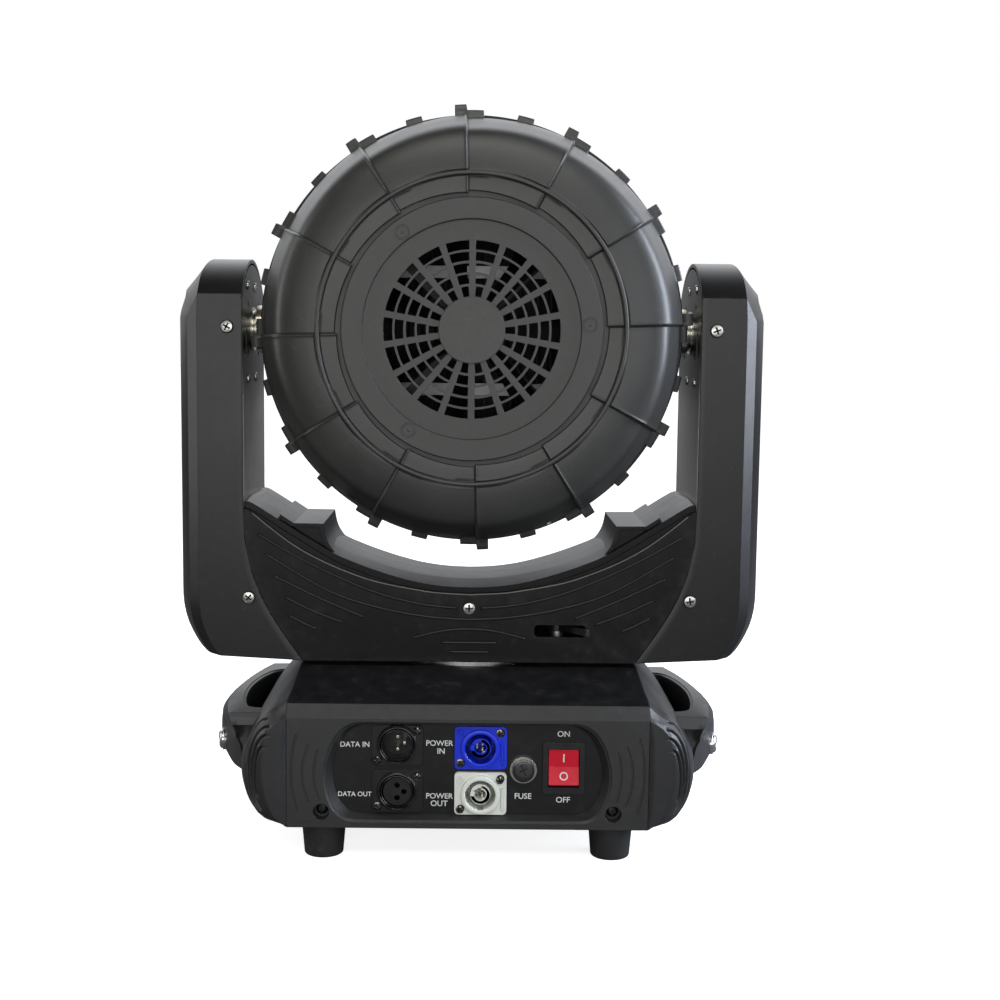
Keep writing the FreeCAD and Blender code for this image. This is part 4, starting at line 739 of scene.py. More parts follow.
# |y| of a section: its outline from top to bottom as (x, z)
CAP = {
    48.0: [(107.3, 110.4), (114.6, 102.2), (125.8, 90.0), (134.6, 78.8), (140.6, 66.0),
           (142.6, 53.0), (140.8, 40.0), (135.6, 29.0), (127.2, 22.2), (107.3, 20.8)],
    62.0: [(108.4, 106.1), (115.2, 99.8), (125.6, 89.4), (134.4, 78.6), (140.4, 65.8),
           (142.4, 53.0), (140.6, 40.0), (135.4, 29.2), (127.0, 22.2), (108.4, 20.8)],
    76.0: [(109.4, 101.8), (115.6, 96.4), (125.8, 88.2), (134.4, 77.4), (140.0, 65.0),
           (141.6, 53.0), (140.0, 40.4), (135.0, 29.6), (126.6, 22.4), (109.4, 20.8)],
    86.0: [(110.7, 98.4), (116.4, 93.8), (126.2, 86.8), (134.0, 76.0), (138.2, 64.0),
           (139.2, 53.0), (137.8, 41.0), (133.2, 30.2), (125.4, 22.8), (110.7, 20.8)],
    93.0: [(110.7, 96.4), (116.4, 91.4), (125.2, 85.0), (132.2, 75.2), (135.4, 63.4),
           (136.0, 53.0), (134.6, 42.0), (130.6, 31.0), (123.6, 23.6), (110.7, 20.8)],
    96.5: [(110.7, 92.6), (116.0, 89.0), (123.8, 83.8), (129.2, 75.2), (131.6, 63.2),
           (131.9, 53.2), (130.7, 43.0), (127.4, 32.5), (121.4, 24.6), (110.7, 20.8)],
    98.6: [(110.7, 90.2), (115.4, 87.9), (121.9, 83.2), (126.7, 75.2), (128.9, 64.0),
           (129.2, 53.4), (128.0, 44.0), (124.9, 33.6), (119.8, 25.9), (110.7, 20.8)],
    100.0: [(110.7, 88.7), (114.8, 86.8), (120.2, 82.4), (124.4, 74.6), (126.2, 64.2),
            (126.4, 53.5), (125.3, 44.5), (122.4, 34.3), (118.1, 26.8), (110.7, 20.8)],
}
CAP_Y = sorted(CAP)
CAP_END = CAP_Y[-1]
CAP_POINTS = 190                       # points down each section
CAP_FACET = (0.0, 0.35, 0.7, 0.9)      # rows on the flat ends, as shares out from the seam
GROOVE_REACH = 3.0                     # grooves shape the cap up to this distance

# Centre lines of the four louvre grooves as (x, z); the depth follows the cap
GROOVES = [
    [(122.6, 86.9), (126.3, 85.1), (129.9, 80.9), (132.5, 76.2), (134.6, 70.5), (135.9, 64.2),
     (136.4, 57.9), (136.4, 51.1), (135.3, 41.4), (132.3, 33.5), (127.7, 27.2)],
    [(121.0, 83.4), (124.1, 82.5), (127.6, 79.4), (130.7, 74.2), (132.8, 68.4), (133.8, 63.2),
     (134.4, 57.0), (134.1, 49.8), (132.7, 40.5), (130.5, 34.2), (127.1, 28.7)],
    [(123.0, 78.4), (126.3, 75.8), (128.9, 71.6), (130.7, 66.4), (132.0, 60.7), (132.3, 55.0),
     (132.3, 48.4), (130.6, 40.4), (128.7, 34.9), (125.9, 29.8)],
    [(125.6, 70.9), (127.6, 68.1), (129.2, 62.9), (130.0, 57.2), (130.2, 50.6), (129.8, 43.4),
     (128.3, 38.3)],
]


def cap_section(y):
    """Outline of the cap in the plane at distance y from the middle."""
    y = min(CAP_END, max(CAP_Y[0], abs(y)))
    for a, b in zip(CAP_Y, CAP_Y[1:]):
        if a <= y <= b:
            t = (y - a) / (b - a)
            return smooth([(p[0] + (q[0] - p[0]) * t, p[1] + (q[1] - p[1]) * t)
                           for p, q in zip(CAP[a], CAP[b])], 6)


def cap_x(y, z):
    """How far out the cap reaches at this depth and height."""
    outline = cap_section(y)
    for a, b in zip(outline, outline[1:]):
        if b[1] <= z <= a[1]:
            return a[0] + (b[0] - a[0]) * ((a[1] - z) / (a[1] - b[1]))


def groove_lines():
    """Groove centre lines on the -Y side, with y found by halving."""
    lines = []
    for groove in GROOVES:
        line = []
        for x, z in smooth(groove, 5):
            low, high = 84.0, CAP_END
            for _ in range(26):
                middle = 0.5 * (low + high)
                if cap_x(middle, z) > x:
                    low = middle
                else:
                    high = middle
            line.append(Vector((x, -low, z)))
        lines.append(line)
    return lines


def groove_depth(point, line):
    """How far one groove presses the surface in here; negative where it raises a lip."""
    beyond = point.z > line[0].z + 2.0 or point.z < line[-1].z - 2.0
    if beyond and min((point - line[0]).length, (point - line[-1]).length) > GROOVE_REACH:
        return 0.0
    nearest, sign, along = 9.0, 1.0, 0
    for k, (a, b) in enumerate(zip(line, line[1:])):
        ab = b - a
        t = min(1.0, max(0.0, (point - a).dot(ab) / ab.length_squared))
        foot = a + ab * t
        distance = (point - foot).length
        if distance < nearest:
            nearest = distance
            sign = 1.0 if (point.x - foot.x) + (point.y - foot.y) > 0 else -1.0
            along = k + t
    if nearest >= GROOVE_REACH:
        return 0.0
    s = nearest * sign
    depth = 1.55 * math.exp(-(s / 0.55) ** 2) - 0.38 * math.exp(-((s - 1.15) / 0.5) ** 2)
    # fades out at both ends of the line
    return depth * smoothstep(min(along, len(line) - 1 - along) / 0.6 + 0.35)


def cap_rows():
    """(y, outline) of each row from -Y to +Y, closest together where the grooves are."""
    stations = []
    y = -CAP_END
    while y < -86.0:
        stations.append(round(y, 3))
        y += 0.22
    stations += [-86.0 + k * 1.6 for k in range(24)] + [-48.0 + k * 6.0 for k in range(17)]
    stations = sorted(set(stations + [-v for v in stations if v < -48.0]))
    end = resample(cap_section(CAP_END), CAP_POINTS)
    facet = [[(CAP_SEAM_X + (x - CAP_SEAM_X) * k, z) for x, z in end] for k in CAP_FACET]
    return ([(-CAP_END, row) for row in facet]
            + [(y, resample(cap_section(y), CAP_POINTS)) for y in stations]
            + [(CAP_END, row) for row in reversed(facet)])


def cap_grid():
    """Rows of points on the right cap, with the grooves pressed in at both ends."""
    grid = [[Vector((x, y, z)) for x, z in row] for y, row in cap_rows()]
    lines = groove_lines()
    last = len(grid) - 1
    depths = {}
    for j, row in enumerate(grid):
        if row[0].y > -85.0:
            continue
        for i, point in enumerate(row):
            depth = max((groove_depth(point, line) for line in lines), key=abs)
            if depth:
                depths[j, i] = depth
                depths[last - j, i] = depth
    pressed = {}
    for (j, i), depth in depths.items():
        down = grid[j][min(i + 1, CAP_POINTS - 1)] - grid[j][max(i - 1, 0)]
        along = grid[min(j + 1, last)][i] - grid[max(j - 1, 0)][i]
        normal = down.cross(along)
        if normal.length < 1e-6:    # rows meet in one point at the seam
            continue
        normal.normalize()
        if normal.x < 0:
            normal = -normal
        pressed[j, i] = grid[j][i] - normal * depth
    for (j, i), point in pressed.items():
        grid[j][i] = point
    return grid


def side_caps():
    grid = cap_grid()
    faces = grid_faces(len(grid), CAP_POINTS)
    for side_name, side in RIGHT_LEFT:
        verts = [(side * p.x, p.y, p.z) for row in grid for p in row]
        cap = make("cap_" + side_name, (verts, faces), "cap_plastic", "side_cap_" + side_name,
                   sharp=34, replaces=True, merge=0.004)
        add_wall(cap, 0.0016)
        turn_faces_out(cap, side)


# ------------------------------------------------------------------ carrying handles
HANDLE_SINK = 1.4         # how far the ends run into the cap
HANDLE_STEP_Z = 76.0      # below this the -Y end is stepped
ROOT_POINTS = 8


def handle_level(z, root_y, *line):
    """Level whose outer line of nine points is smoothed in two parts that meet."""
    return z, root_y, line[0], line[:3], line[2:]


def shifted(points, dx, dy):
    return [(x + dx, y + dy) for x, y in points]


# Outer line at the top of the handle as (x, y): its -Y corner, then the rest
TOP_CORNER = [(150.5, -68.5), (153.6, -53), (155.3, -38)]
TOP_REST = [(155.3, -38), (155.9, -22), (155.6, -3), (153.8, 15), (150.5, 36), (146.5, 55),
            (141.3, 73.6)]

# Outside of the handle from the top down: z, y of the -Y end at the cap, outer line (x, y)
HANDLE_OUTSIDE = [
    (84.0, -68.2, (150.1, -68.2), shifted(TOP_CORNER, -0.4, 0.3), shifted(TOP_REST, -0.45, 0.0)),
    (83.8, -68.5, (150.4, -68.5), TOP_CORNER, shifted(TOP_REST, -0.1, 0.0)),
    handle_level(83.2, -68.9, (150.6, -68.9), (153.9, -53), (155.7, -38), (156.4, -22),
                 (156.1, -3), (154.4, 15), (151.0, 36), (146.9, 55), (141.6, 73.6)),
    handle_level(80.0, -69.6, (149.6, -69.5), (154.4, -53.5), (157.8, -38), (159.2, -21),
                 (159.3, -3), (158.0, 15.5), (154.0, 36.5), (149.0, 55.5), (142.5, 73.3)),
    handle_level(76.6, -70.3, (148.3, -70.1), (154.6, -54), (159.3, -38), (161.4, -20),
                 (162.0, -2), (161.0, 16), (156.8, 37), (151.0, 56), (143.4, 73.0)),
    handle_level(76.2, -70.1, (148.1, -70.0), (154.6, -54), (159.4, -38), (161.6, -20),
                 (162.2, -2), (161.2, 16), (157.0, 37), (151.0, 56), (143.5, 73.0)),
    handle_level(75.8, -64.6, (147.8, -69.8), (154.3, -54), (159.5, -38), (161.9, -20),
                 (162.5, -2), (161.5, 16), (157.3, 37), (151.2, 56), (143.6, 72.9)),
    handle_level(73.0, -64.3, (146.6, -69.4), (152.9, -54.5), (158.9, -38), (161.9, -20),
                 (162.8, -2), (161.9, 16), (157.6, 37), (151.4, 56), (143.8, 72.6)),
    handle_level(70.5, -64.3, (146.2, -68.5), (152.0, -54.3), (158.7, -38), (162.6, -20),
                 (164.2, -2), (163.2, 16), (158.6, 37), (152.0, 56), (144.2, 72.2)),
    handle_level(68.3, -64.3, (146.4, -67.0), (151.3, -53.6), (157.8, -38), (162.7, -19.5),
                 (165.0, -2), (164.0, 16), (159.2, 37.5), (152.4, 56), (144.5, 71.9)),
    handle_level(66.3, -64.4, (145.6, -66.4), (150.8, -53.0), (156.9, -38), (162.6, -19),
                 (165.5, -2), (164.5, 17), (159.6, 38), (152.6, 56), (144.6, 71.6)),
    handle_level(63.4, -64.6, (144.2, -66.5), (150.4, -53), (156.6, -38), (162.5, -19),
                 (165.8, -2), (164.8, 18), (159.8, 39), (152.8, 56), (144.7, 71.1)),
    handle_level(58.0, -64.8, (143.0, -66.8), (150.2, -53), (156.6, -38), (162.5, -19),
                 (165.9, -2), (164.9, 18), (159.8, 39), (152.8, 56), (144.7, 71.0)),
    handle_level(51.0, -64.8, (142.6, -67.0), (150.2, -54), (156.6, -38), (162.4, -19),
                 (165.8, -2), (164.8, 18), (159.7, 39), (152.7, 56), (144.6, 70.8)),
    handle_level(49.0, -64.8, (142.6, -67.0), (150.0, -54.2), (156.3, -38), (162.0, -19),
                 (165.2, -2), (164.2, 18), (159.2, 39), (152.3, 56), (144.4, 70.7)),
    handle_level(47.2, -64.8, (142.6, -66.8), (149.4, -55.2), (155.4, -38), (160.6, -19),
                 (163.2, -2), (162.4, 18), (157.8, 39), (151.0, 56), (143.4, 70.1)),
    handle_level(46.6, -64.5, (142.2, -66.3), (148.8, -55.0), (154.8, -38), (159.8, -19),
                 (162.4, -2), (161.6, 18), (157.0, 39), (150.4, 56), (142.8, 69.6)),
]
# Edge of the hand hole as (x, y)
HANDLE_HOLE = [(133, -53.5), (138.5, -51.5), (142.2, -44.5), (143.8, -38), (146, -24.5),
               (147.2, -3), (146.1, 16), (142.7, 35), (137.7, 49), (133.5, 53.0), (129.5, 54.5)]
# Wall of the hole from the bottom up: z, offset sideways from that edge
HANDLE_INSIDE = [(46.6, 1.6), (47.2, 1.1), (63.4, 1.1), (64.0, 0.9), (64.2, 0.0), (81.4, 0.0),
                 (82.3, -0.1), (82.9, 0.2), (83.2, 0.7), (83.25, 1.2), (83.6, 1.45), (84.0, 1.6)]


def outside_line(z, root_y, corner, first, rest):
    """Line round the outside of the handle at one height."""
    root = (cap_x(68.0, z) - HANDLE_SINK, root_y)
    if z > HANDLE_STEP_Z:
        end = [root, corner]
    else:
        middle = (root[0] + (corner[0] - root[0]) * 0.55, root_y)
        end = smooth([root, middle, (corner[0] - 1.2, corner[1] + 1.9), corner], 6)
    points = resample(end, ROOT_POINTS) + smooth(first, 5)[1:] + smooth(rest, 6)[1:]
    x, y = points[-1]
    far_root = (cap_x(70.0, z) - HANDLE_SINK, y + 0.9)
    points += resample([(x - 0.6, y + 0.25), far_root], 5)
    return [(x, y, z) for x, y in points]


def inside_line(z, offset, count):
    """Line along the hand hole at one height."""
    edge = smooth(HANDLE_HOLE, 5)
    line = []
    for i, (x, y) in enumerate(edge):
        a, b = edge[max(i - 1, 0)], edge[min(i + 1, len(edge) - 1)]
        dx, dy = b[0] - a[0], b[1] - a[1]
        length = math.hypot(dx, dy)
        line.append((x + offset * dy / length, y - offset * dx / length))
    root_x = cap_x(53.0, z) - HANDLE_SINK
    start = (min(root_x, line[0][0] - 0.5), line[0][1] - 0.3)
    end = (min(root_x, line[-1][0] - 0.5), line[-1][1] + 0.3)
    return [(x, y, z) for x, y in resample([start] + line + [end], count)]


def handles():
    lines = [outside_line(*level) for level in HANDLE_OUTSIDE]
    count = len(lines[0])
    lines += [inside_line(z, offset, count) for z, offset in HANDLE_INSIDE]
    faces = bar_faces(count, len(lines))
    for side_name, side in RIGHT_LEFT:
        verts = [(side * x, y, z) for section in zip(*lines) for x, y, z in section]
        make("handle_loop_" + side_name, (verts, faces), "handle_plastic",
             "handle_" + side_name, sharp=26, replaces=True, merge=0.002)


# radius, height
BOLT_PROFILE = [
    (0.0, 1.6), (2.9, 1.6), (3.1, 1.7), (3.2, 3.0), (3.4, 3.2), (4.6, 3.15), (5.5, 2.8),
    (6.1, 2.2), (6.3, 1.5), (6.32, 1.2), (7.1, 1.15), (7.3, 0.95), (7.3, -0.6), (0.0, -0.6),
]
BOLT_Z = 55.0
BOLTS = [(160.9, -24.0, -14.5), (162.9, 24.0, 13.0)]    # |x|, y, angle in degrees towards +Y


def handle_bolts():
    bolts = []
    for side in (-1, 1):
        for x, y, degrees in BOLTS:
            lean = math.radians(degrees)
            axis = (side * math.cos(lean), math.sin(lean), 0.0)
            bolts.append(lathe(BOLT_PROFILE, 40, (side * x, y, BOLT_Z), axis))
    make("handle_bolt_heads", join(bolts), "screw_chrome", "handle_bolts",
         sharp=30, replaces=True, merge=0.001)


# ------------------------------------------------------------------ arm covers
# Seam with the yoke cover as (x, z)
SEAM = [(106.4, 113.4), (121.2, 135.0), (130.0, 150.0), (136.2, 164.0), (140.6, 179.0),
        (143.2, 197.0), (143.5, 217.0)]
SEAM_GAP = 0.15
SEAM_BY_Z = [(z, x + SEAM_GAP) for x, z in smooth(SEAM, 8)]
# z, how far the lower outer corner draws in
CORNER = smooth([(113.4, 15.6), (116.5, 13.0), (120.0, 10.0), (127.0, 6.0), (135.0, 2.6),
                 (144.0, 0.6), (152.0, 0.0), (160.0, 0.0)], 4)
# |y|, x of the bulging outer side
SIDE = smooth([(0.0, 190.2), (10.0, 189.5), (20.0, 187.6), (30.0, 184.6), (38.5, 181.2),
               (43.0, 178.9)], 4)
SIDE_HALF = 43.0          # |y| where the side meets the chamfer
SIDE_EDGE_X = 178.9
FACE_EDGE_X = 171.9       # where the flat face meets the chamfer
CHAMFER_X = (FACE_EDGE_X + SIDE_EDGE_X) / 2
CHAMFER_Y = (SIDE_HALF + COVER_Y) / 2
SHOULDER_Z = 331.0        # the side leans in above this
CROWN_R = 62.5
CROWN_CENTRE_Z = 369.0 - CROWN_R
CROWN_SEAM_X = 143.65
CROWN_EDGE_X, CROWN_FLARE = 168.0, 3.2
CROWN_END_X = CROWN_EDGE_X + CROWN_FLARE
LOWER_END_Z = 156.0
# heights as shares of the lower and the upper part of the wall
LOWER = [0.0, 0.02, 0.06, 0.12, 0.2, 0.3, 0.42, 0.55, 0.7, 0.85, 1.0]
UPPER = [0.08, 0.2, 0.35, 0.5, 0.65, 0.8, 0.92, 1.0]
# rows above the shoulder: share of the way in, share of the way up
SHOULDER = [(0.037, 0.139), (0.169, 0.366), (0.20, 0.487), (0.584, 0.732), (1.0, 1.0)]
FACE_SHARES = [k / 9 for k in range(9)] + [0.985, 1.0]    # columns from the seam outwards
SIDE_COLUMNS_Y = [-SIDE_HALF + 2 * SIDE_HALF * i / 30 for i in range(31)]


def crown_z(y):
    return CROWN_CENTRE_Z + math.sqrt(CROWN_R ** 2 - y * y)


def crown_edge_x(y):
    return CROWN_EDGE_X + CROWN_FLARE * smoothstep(abs(y) / 40.0)


def wall_heights(bottom):
    return ([bottom + (LOWER_END_Z - bottom) * t for t in LOWER]
            + [LOWER_END_Z + (SHOULDER_Z - LOWER_END_Z) * t for t in UPPER])


def shoulder_z(share, y):
    return SHOULDER_Z + (crown_z(y) - SHOULDER_Z) * share


def face_column(share, y_sign):
    """Column on the flat face; share runs from the seam to the chamfer."""
    y = COVER_Y * y_sign
    column = []
    for z in wall_heights(113.4 + 0.05 * (share * (158.5 - 106.4))):
        seam_x = interpolate(SEAM_BY_Z, z)
        edge_x = FACE_EDGE_X - interpolate(CORNER, z)
        column.append((seam_x + (edge_x - seam_x) * share, y, z))
    for _, up in SHOULDER:
        edge_x = FACE_EDGE_X + (CROWN_END_X - FACE_EDGE_X) * up
        x = CROWN_SEAM_X + (edge_x - CROWN_SEAM_X) * share
        column.append((x, y, shoulder_z(up, COVER_Y)))
    return column


def chamfer_column(y_sign):
    """Column down the middle of the chamfer."""
    column = [(CHAMFER_X - interpolate(CORNER, z), CHAMFER_Y * y_sign, z)
              for z in wall_heights(116.3)]
    for _, up in SHOULDER:
        x = CHAMFER_X + (CROWN_END_X - CHAMFER_X) * up
        y = (CHAMFER_Y + (COVER_Y - CHAMFER_Y) * up) * y_sign
        column.append((x, y, shoulder_z(up, COVER_Y)))
    return column


def side_column(y):
    """Column on the bulging outer side."""
    side_x = interpolate(SIDE, abs(y))
    column = [(side_x - interpolate(CORNER, z), y, z) for z in wall_heights(116.6)]
    top_y = y * COVER_Y / SIDE_HALF
    for inwards, up in SHOULDER:
        share = inwards + (up - inwards) * (abs(y) / SIDE_HALF) ** 2
        column.append((side_x + (crown_edge_x(top_y) - side_x) * share,
                       y + (top_y - y) * up, shoulder_z(up, top_y)))
    return column


def arm_cover_mesh(side):
    columns = ([face_column(share, -1) for share in FACE_SHARES] + [chamfer_column(-1)]
               + [side_column(y) for y in SIDE_COLUMNS_Y] + [chamfer_column(1)]
               + [face_column(share, 1) for share in reversed(FACE_SHARES)])
    count, rows = len(columns), len(columns[0])
    points = [point for column in columns for point in column]
    faces = grid_faces(count, rows)
    # underside, joining near and far columns
    for i in range(count // 2 - 1):
        j = count - 1 - i
        faces.append((i * rows, (i + 1) * rows, (j - 1) * rows, j * rows))
    faces += grid_faces(len(SIDE_COLUMNS_Y), len(FACE_SHARES), start=len(points))
    # crown
    for side_y in SIDE_COLUMNS_Y:
        y = side_y * COVER_Y / SIDE_HALF
        reach = crown_edge_x(y) - CROWN_SEAM_X
        points += [(CROWN_SEAM_X + reach * share, y, crown_z(y)) for share in FACE_SHARES]
    return [(side * x, y, z) for x, y, z in points], faces


def arm_covers():
    for side_name, side in RIGHT_LEFT:
        cover = make("arm_" + side_name, arm_cover_mesh(side), "arm_plastic",
                     "arm_cover_" + side_name, sharp=17, replaces=True,
                     merge=0.02)
        turn_faces_out(cover, side, from_x=0.155)
        add_wall(cover, 0.0026)
        edges = cover.modifiers.new("edges", "BEVEL")
        edges.width = 0.0006
        edges.segments = 2
        edges.limit_method = "ANGLE"
        edges.angle_limit = math.radians(20)


# ------------------------------------------------------------------ lines on the yoke covers
# Raised lines as (x, z); those that end at x = 0 run on across to the other half
YOKE_LINES = [
    [(-134.2, 194.5), (-102.3, 176.5), (-64.6, 159.7), (-33.2, 151.1), (-7.3, 148.3)],
    [(-129.5, 181.9), (-89.8, 158.8), (-58.3, 148.3), (-26.8, 142.6), (0, 140.9)],
    [(-124.3, 168.0), (-96, 154.2), (-67.1, 142.0)],
    [(-117.1, 154.1), (-99.0, 145.4), (-80.6, 138.4)],
    [(-115.0, 142.6), (-106.0, 137.9), (-97.1, 133.9)],
]
LOW_ARC = [(-36.0, 128.7), (-18, 133.2), (0, 134.8), (18, 133.2), (36.0, 128.7)]
LOW_BARS = [(17.6, 125.95), (12.1, 119.95)]    # half length, z
# Right half of the upper edge of the cover as (x, z)
LIP = [(0, 157.2), (20, 158.2), (33.2, 160.0), (58.3, 164.8), (77.2, 171.0), (96, 179.1),
       (112.3, 188.4), (127.3, 199.6), (138.5, 208.9)]
LIP_DROP = 0.25


def bead(path, side, half_width=0.85, height=0.72, base=48.6):
    """Rounded raised line with round ends along a path of (x, z), from |y| = base."""
    arc = 8
    cols = arc + 1
    along = lengths_along(path)
    last = len(path) - 1
    verts = []
    for i, (x, z) in enumerate(path):
        a, b = path[max(i - 1, 0)], path[min(i + 1, last)]
        length = math.hypot(b[0] - a[0], b[1] - a[1])
        nx, nz = -(b[1] - a[1]) / length, (b[0] - a[0]) / length
        taper = 1.0
        for from_end in (along[i], along[-1] - along[i]):
            short = max(0.0, 1.0 - from_end / half_width)
            taper = min(taper, math.sqrt(max(0.0, 1.0 - short ** 2)) + 0.05)
        for k in range(cols):
            angle = math.pi * k / arc
            out, rise = half_width * math.cos(angle) * taper, math.sin(angle)
            up = rise ** 0.7 if rise > 1e-6 else 0.0
            y = side * (base + (COVER_Y - base + height * taper) * up)
            verts.append((x + nx * out, y, z + nz * out))
    faces = grid_faces(len(path), cols, close_cols=True)
    faces.append(tuple(range(cols)))
    faces.append(tuple(last * cols + k for k in range(arc, -1, -1)))
    return verts, faces


def divided(path, step=0.45):
    """The path with its pieces cut to about `step` long."""
    out = [path[0]]
    for a, b in zip(path, path[1:]):
        dx, dz = b[0] - a[0], b[1] - a[1]
        count = max(1, int(math.hypot(dx, dz) / step))
        out += [(a[0] + dx * j / count, a[1] + dz * j / count) for j in range(1, count + 1)]
    return out


def mirrored(path):
    return [(-x, z) for x, z in path]


def yoke_lines():
    paths = []
    for line in YOKE_LINES:
        path = smooth(line, 8)
        if abs(path[-1][0]) < 0.5:
            paths.append(path + mirrored(reversed(path[:-1])))
        else:
            paths += [path, mirrored(path)]
    paths.append(smooth(LOW_ARC, 8))
    paths += [[(-half, z), (half, z)] for half, z in LOW_BARS]
    lip = [(x, z - LIP_DROP) for x, z in smooth(LIP, 6)]
    lip = mirrored(reversed(lip[1:])) + lip
    for side_name, side in NEAR_FAR:
        part = "yoke_cover_" + side_name
        beads = join([bead(divided(path), side) for path in paths])
        # The raised lines are shaped; giving them the lighter arm plastic paints a highlight on
        # them.
        make("yoke_lines_" + side_name, beads, "arm_plastic", part, sharp=60)
        # Thin bead in a light colour along the lip: a painted highlight of the lip edge.
        edge = bead(divided(lip, 0.8), side, half_width=0.36, height=0.16, base=48.7)
        make("yoke_lip_painted_highlight_" + side_name, edge, "edge_light", part, sharp=60)


# ------------------------------------------------------------------ labels
LABEL_Y = -91.62
# name, words, x, z, letter size
LABELS = [
    ("label_data_in", "DATA IN", -69.3, 70.7, 4.6),
    ("label_data_out", "DATA OUT", -69.4, 39.4, 4.1),
    ("label_power_a", "POWER", -17.45, 71.9, 4.8),
    ("label_power_a2", "IN", -16.4, 66.9, 5.0),
    ("label_power_b", "POWER", -17.3, 38.6, 4.8),
    ("label_power_b2", "OUT", -17.4, 33.9, 5.0),
    ("label_fuse", "FUSE", 34.2, 39.0, 5.0),
    ("label_on", "ON", 58.8, 78.4, 5.0),
    ("label_off", "OFF", 58.9, 36.9, 5.0),
]


def label(name, words, x, z, size):
    """Raised white letters on the connector panel, readable from -Y."""
    curve = bpy.data.curves.new(name, "FONT")
    curve.body = words
    curve.size = size * MM
    curve.align_x = "CENTER"
    curve.align_y = "CENTER"
    curve.extrude = 0.00004
    curve.offset = 0.00005
    curve.resolution_u = 6
    letters = bpy.data.objects.new(name, curve)
    bpy.context.scene.collection.objects.link(letters)
    letters.matrix_world = (Matrix.Translation((x * MM, LABEL_Y * MM, z * MM))
                            @ Matrix.Rotation(math.radians(90), 4, "X"))
    bpy.context.view_layer.update()
    depsgraph = bpy.context.evaluated_depsgraph_get()
    data = bpy.data.meshes.new_from_object(letters.evaluated_get(depsgraph))
    placement = letters.matrix_world.copy()
    bpy.data.objects.remove(letters)
    data.transform(placement)
    data.materials.clear()
    data.materials.append(MATERIALS["label_white"])
    obj = bpy.data.objects.new(name, data)
    bpy.context.scene.collection.objects.link(obj)
    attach(obj, NODES["connector_panel"]["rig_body"])


# ------------------------------------------------------------------ connector panel
DATA_SOCKETS = [(-43.2, 71.2), (-43.2, 42.1)]    # x, z
# radius, height
DATA_RIM = [
    (12.9, -0.3), (12.9, 1.2), (12.7, 1.9), (12.2, 2.4), (11.9, 3.2), (11.5, 3.6), (11.0, 3.7),
    (10.6, 3.4), (10.4, 2.9), (10.3, 2.2), (10.2, 3.0), (9.9, 3.5), (9.6, 3.6), (9.3, 3.3),
    (9.15, 2.6), (9.1, -0.3), (12.9, -0.3),
]
DATA_BOSS = [(0.0, 1.7), (3.2, 1.7), (3.6, 1.3), (3.7, -0.3), (0.0, -0.3)]
DATA_BOSS_OFFSETS = [(12.2, 9.0), (-12.2, -9.4)]
DATA_SCREWS = [(-31.0, 80.2), (-55.3, 61.8), (-31.0, 51.3), (-55.4, 32.9)]    # x, z

SOCKET_Y = -93.5          # used where a power socket has no surface to stand on
# object, material, CAD piece, x, z
COLLARS = [
    ("power_in_collar", "blue_plastic", "power_in_socket", 7.7, 69.7),
    ("power_out_collar", "white_plastic", "power_out_socket", 7.9, 40.5),
]
# radius, height
COLLAR = [(11.9, -0.4), (11.9, 0.5), (11.6, 0.9), (10.6, 1.1), (9.7, 1.0), (9.3, 0.6),
          (9.25, -0.4), (11.9, -0.4)]
KEY_RING = [(3.4, -5.0), (3.4, -1.2), (3.7, -0.8), (5.9, -0.8), (6.2, -1.2), (6.2, -5.0)]
KEY_START, KEY_SWEEP = 150, 292    # degrees
KEY_STEPS = 40
# CAD piece, x, z
POWER_SCREWS = [
    ("power_in_socket", 19.7, 79.3), ("power_in_socket", -4.6, 60.6),
    ("power_out_socket", 19.8, 49.9), ("power_out_socket", -4.6, 31.2),
]


def data_socket_rims():
    rims = []
    for x, z in DATA_SOCKETS:
        rims.append(lathe(DATA_RIM, 96, (x, PANEL_Y, z), TOWARDS_NEAR))
        for dx, dz in DATA_BOSS_OFFSETS:
            rims.append(lathe(DATA_BOSS, 32, (x + dx, PANEL_Y, z + dz), TOWARDS_NEAR))
    make("data_socket_rims", join(rims), "socket_gloss", "connector_panel",
         sharp=40, merge=0.001)


def key_ring(x, y, z):
    """C-shaped ring standing in a power socket."""
    start, end = math.radians(KEY_START), math.radians(KEY_START + KEY_SWEEP)
    verts = []
    for i in range(KEY_STEPS + 1):
        a = start + (end - start) * i / KEY_STEPS
        verts += [(x + r * math.cos(a), y - h, z + r * math.sin(a)) for r, h in KEY_RING]
    return verts, bar_faces(KEY_STEPS + 1, len(KEY_RING))


def power_collars():
    for name, material, socket, x, z in COLLARS:
        y = surface_y(socket, x + 11.4, z, miss=SOCKET_Y)
        parts = [
            lathe(COLLAR, 80, (x, y, z), TOWARDS_NEAR),
            key_ring(x, y, z),
            # raised bar on the +X side, small ring at the upper -X corner
            box(x + 12.9, x + 14.0, y - 0.5, y + 0.3, z - 9.0, z + 4.5),
            torus(x - 12.0, y - 0.05, z + 9.6, radius=1.9, thick=0.3, count=36),
        ]
        make(name, join(parts), material, "connector_panel", sharp=35, merge=0.001)


def socket_screws():
    heads = [screw_head(x, -93.3, z, radius=2.3, tall=1.2, turn=0.4 + i)
             for i, (x, z) in enumerate(DATA_SCREWS)]
    for i, (socket, x, z) in enumerate(POWER_SCREWS):
        y = surface_y(socket, x + 3.2, z, miss=SOCKET_Y)
        heads.append(screw_head(x, y, z, radius=2.5, tall=1.2, turn=0.25 + 0.8 * i))
    make("socket_screw_heads", join(heads), "screw_dark", "connector_panel",
         sharp=50, merge=0.001)


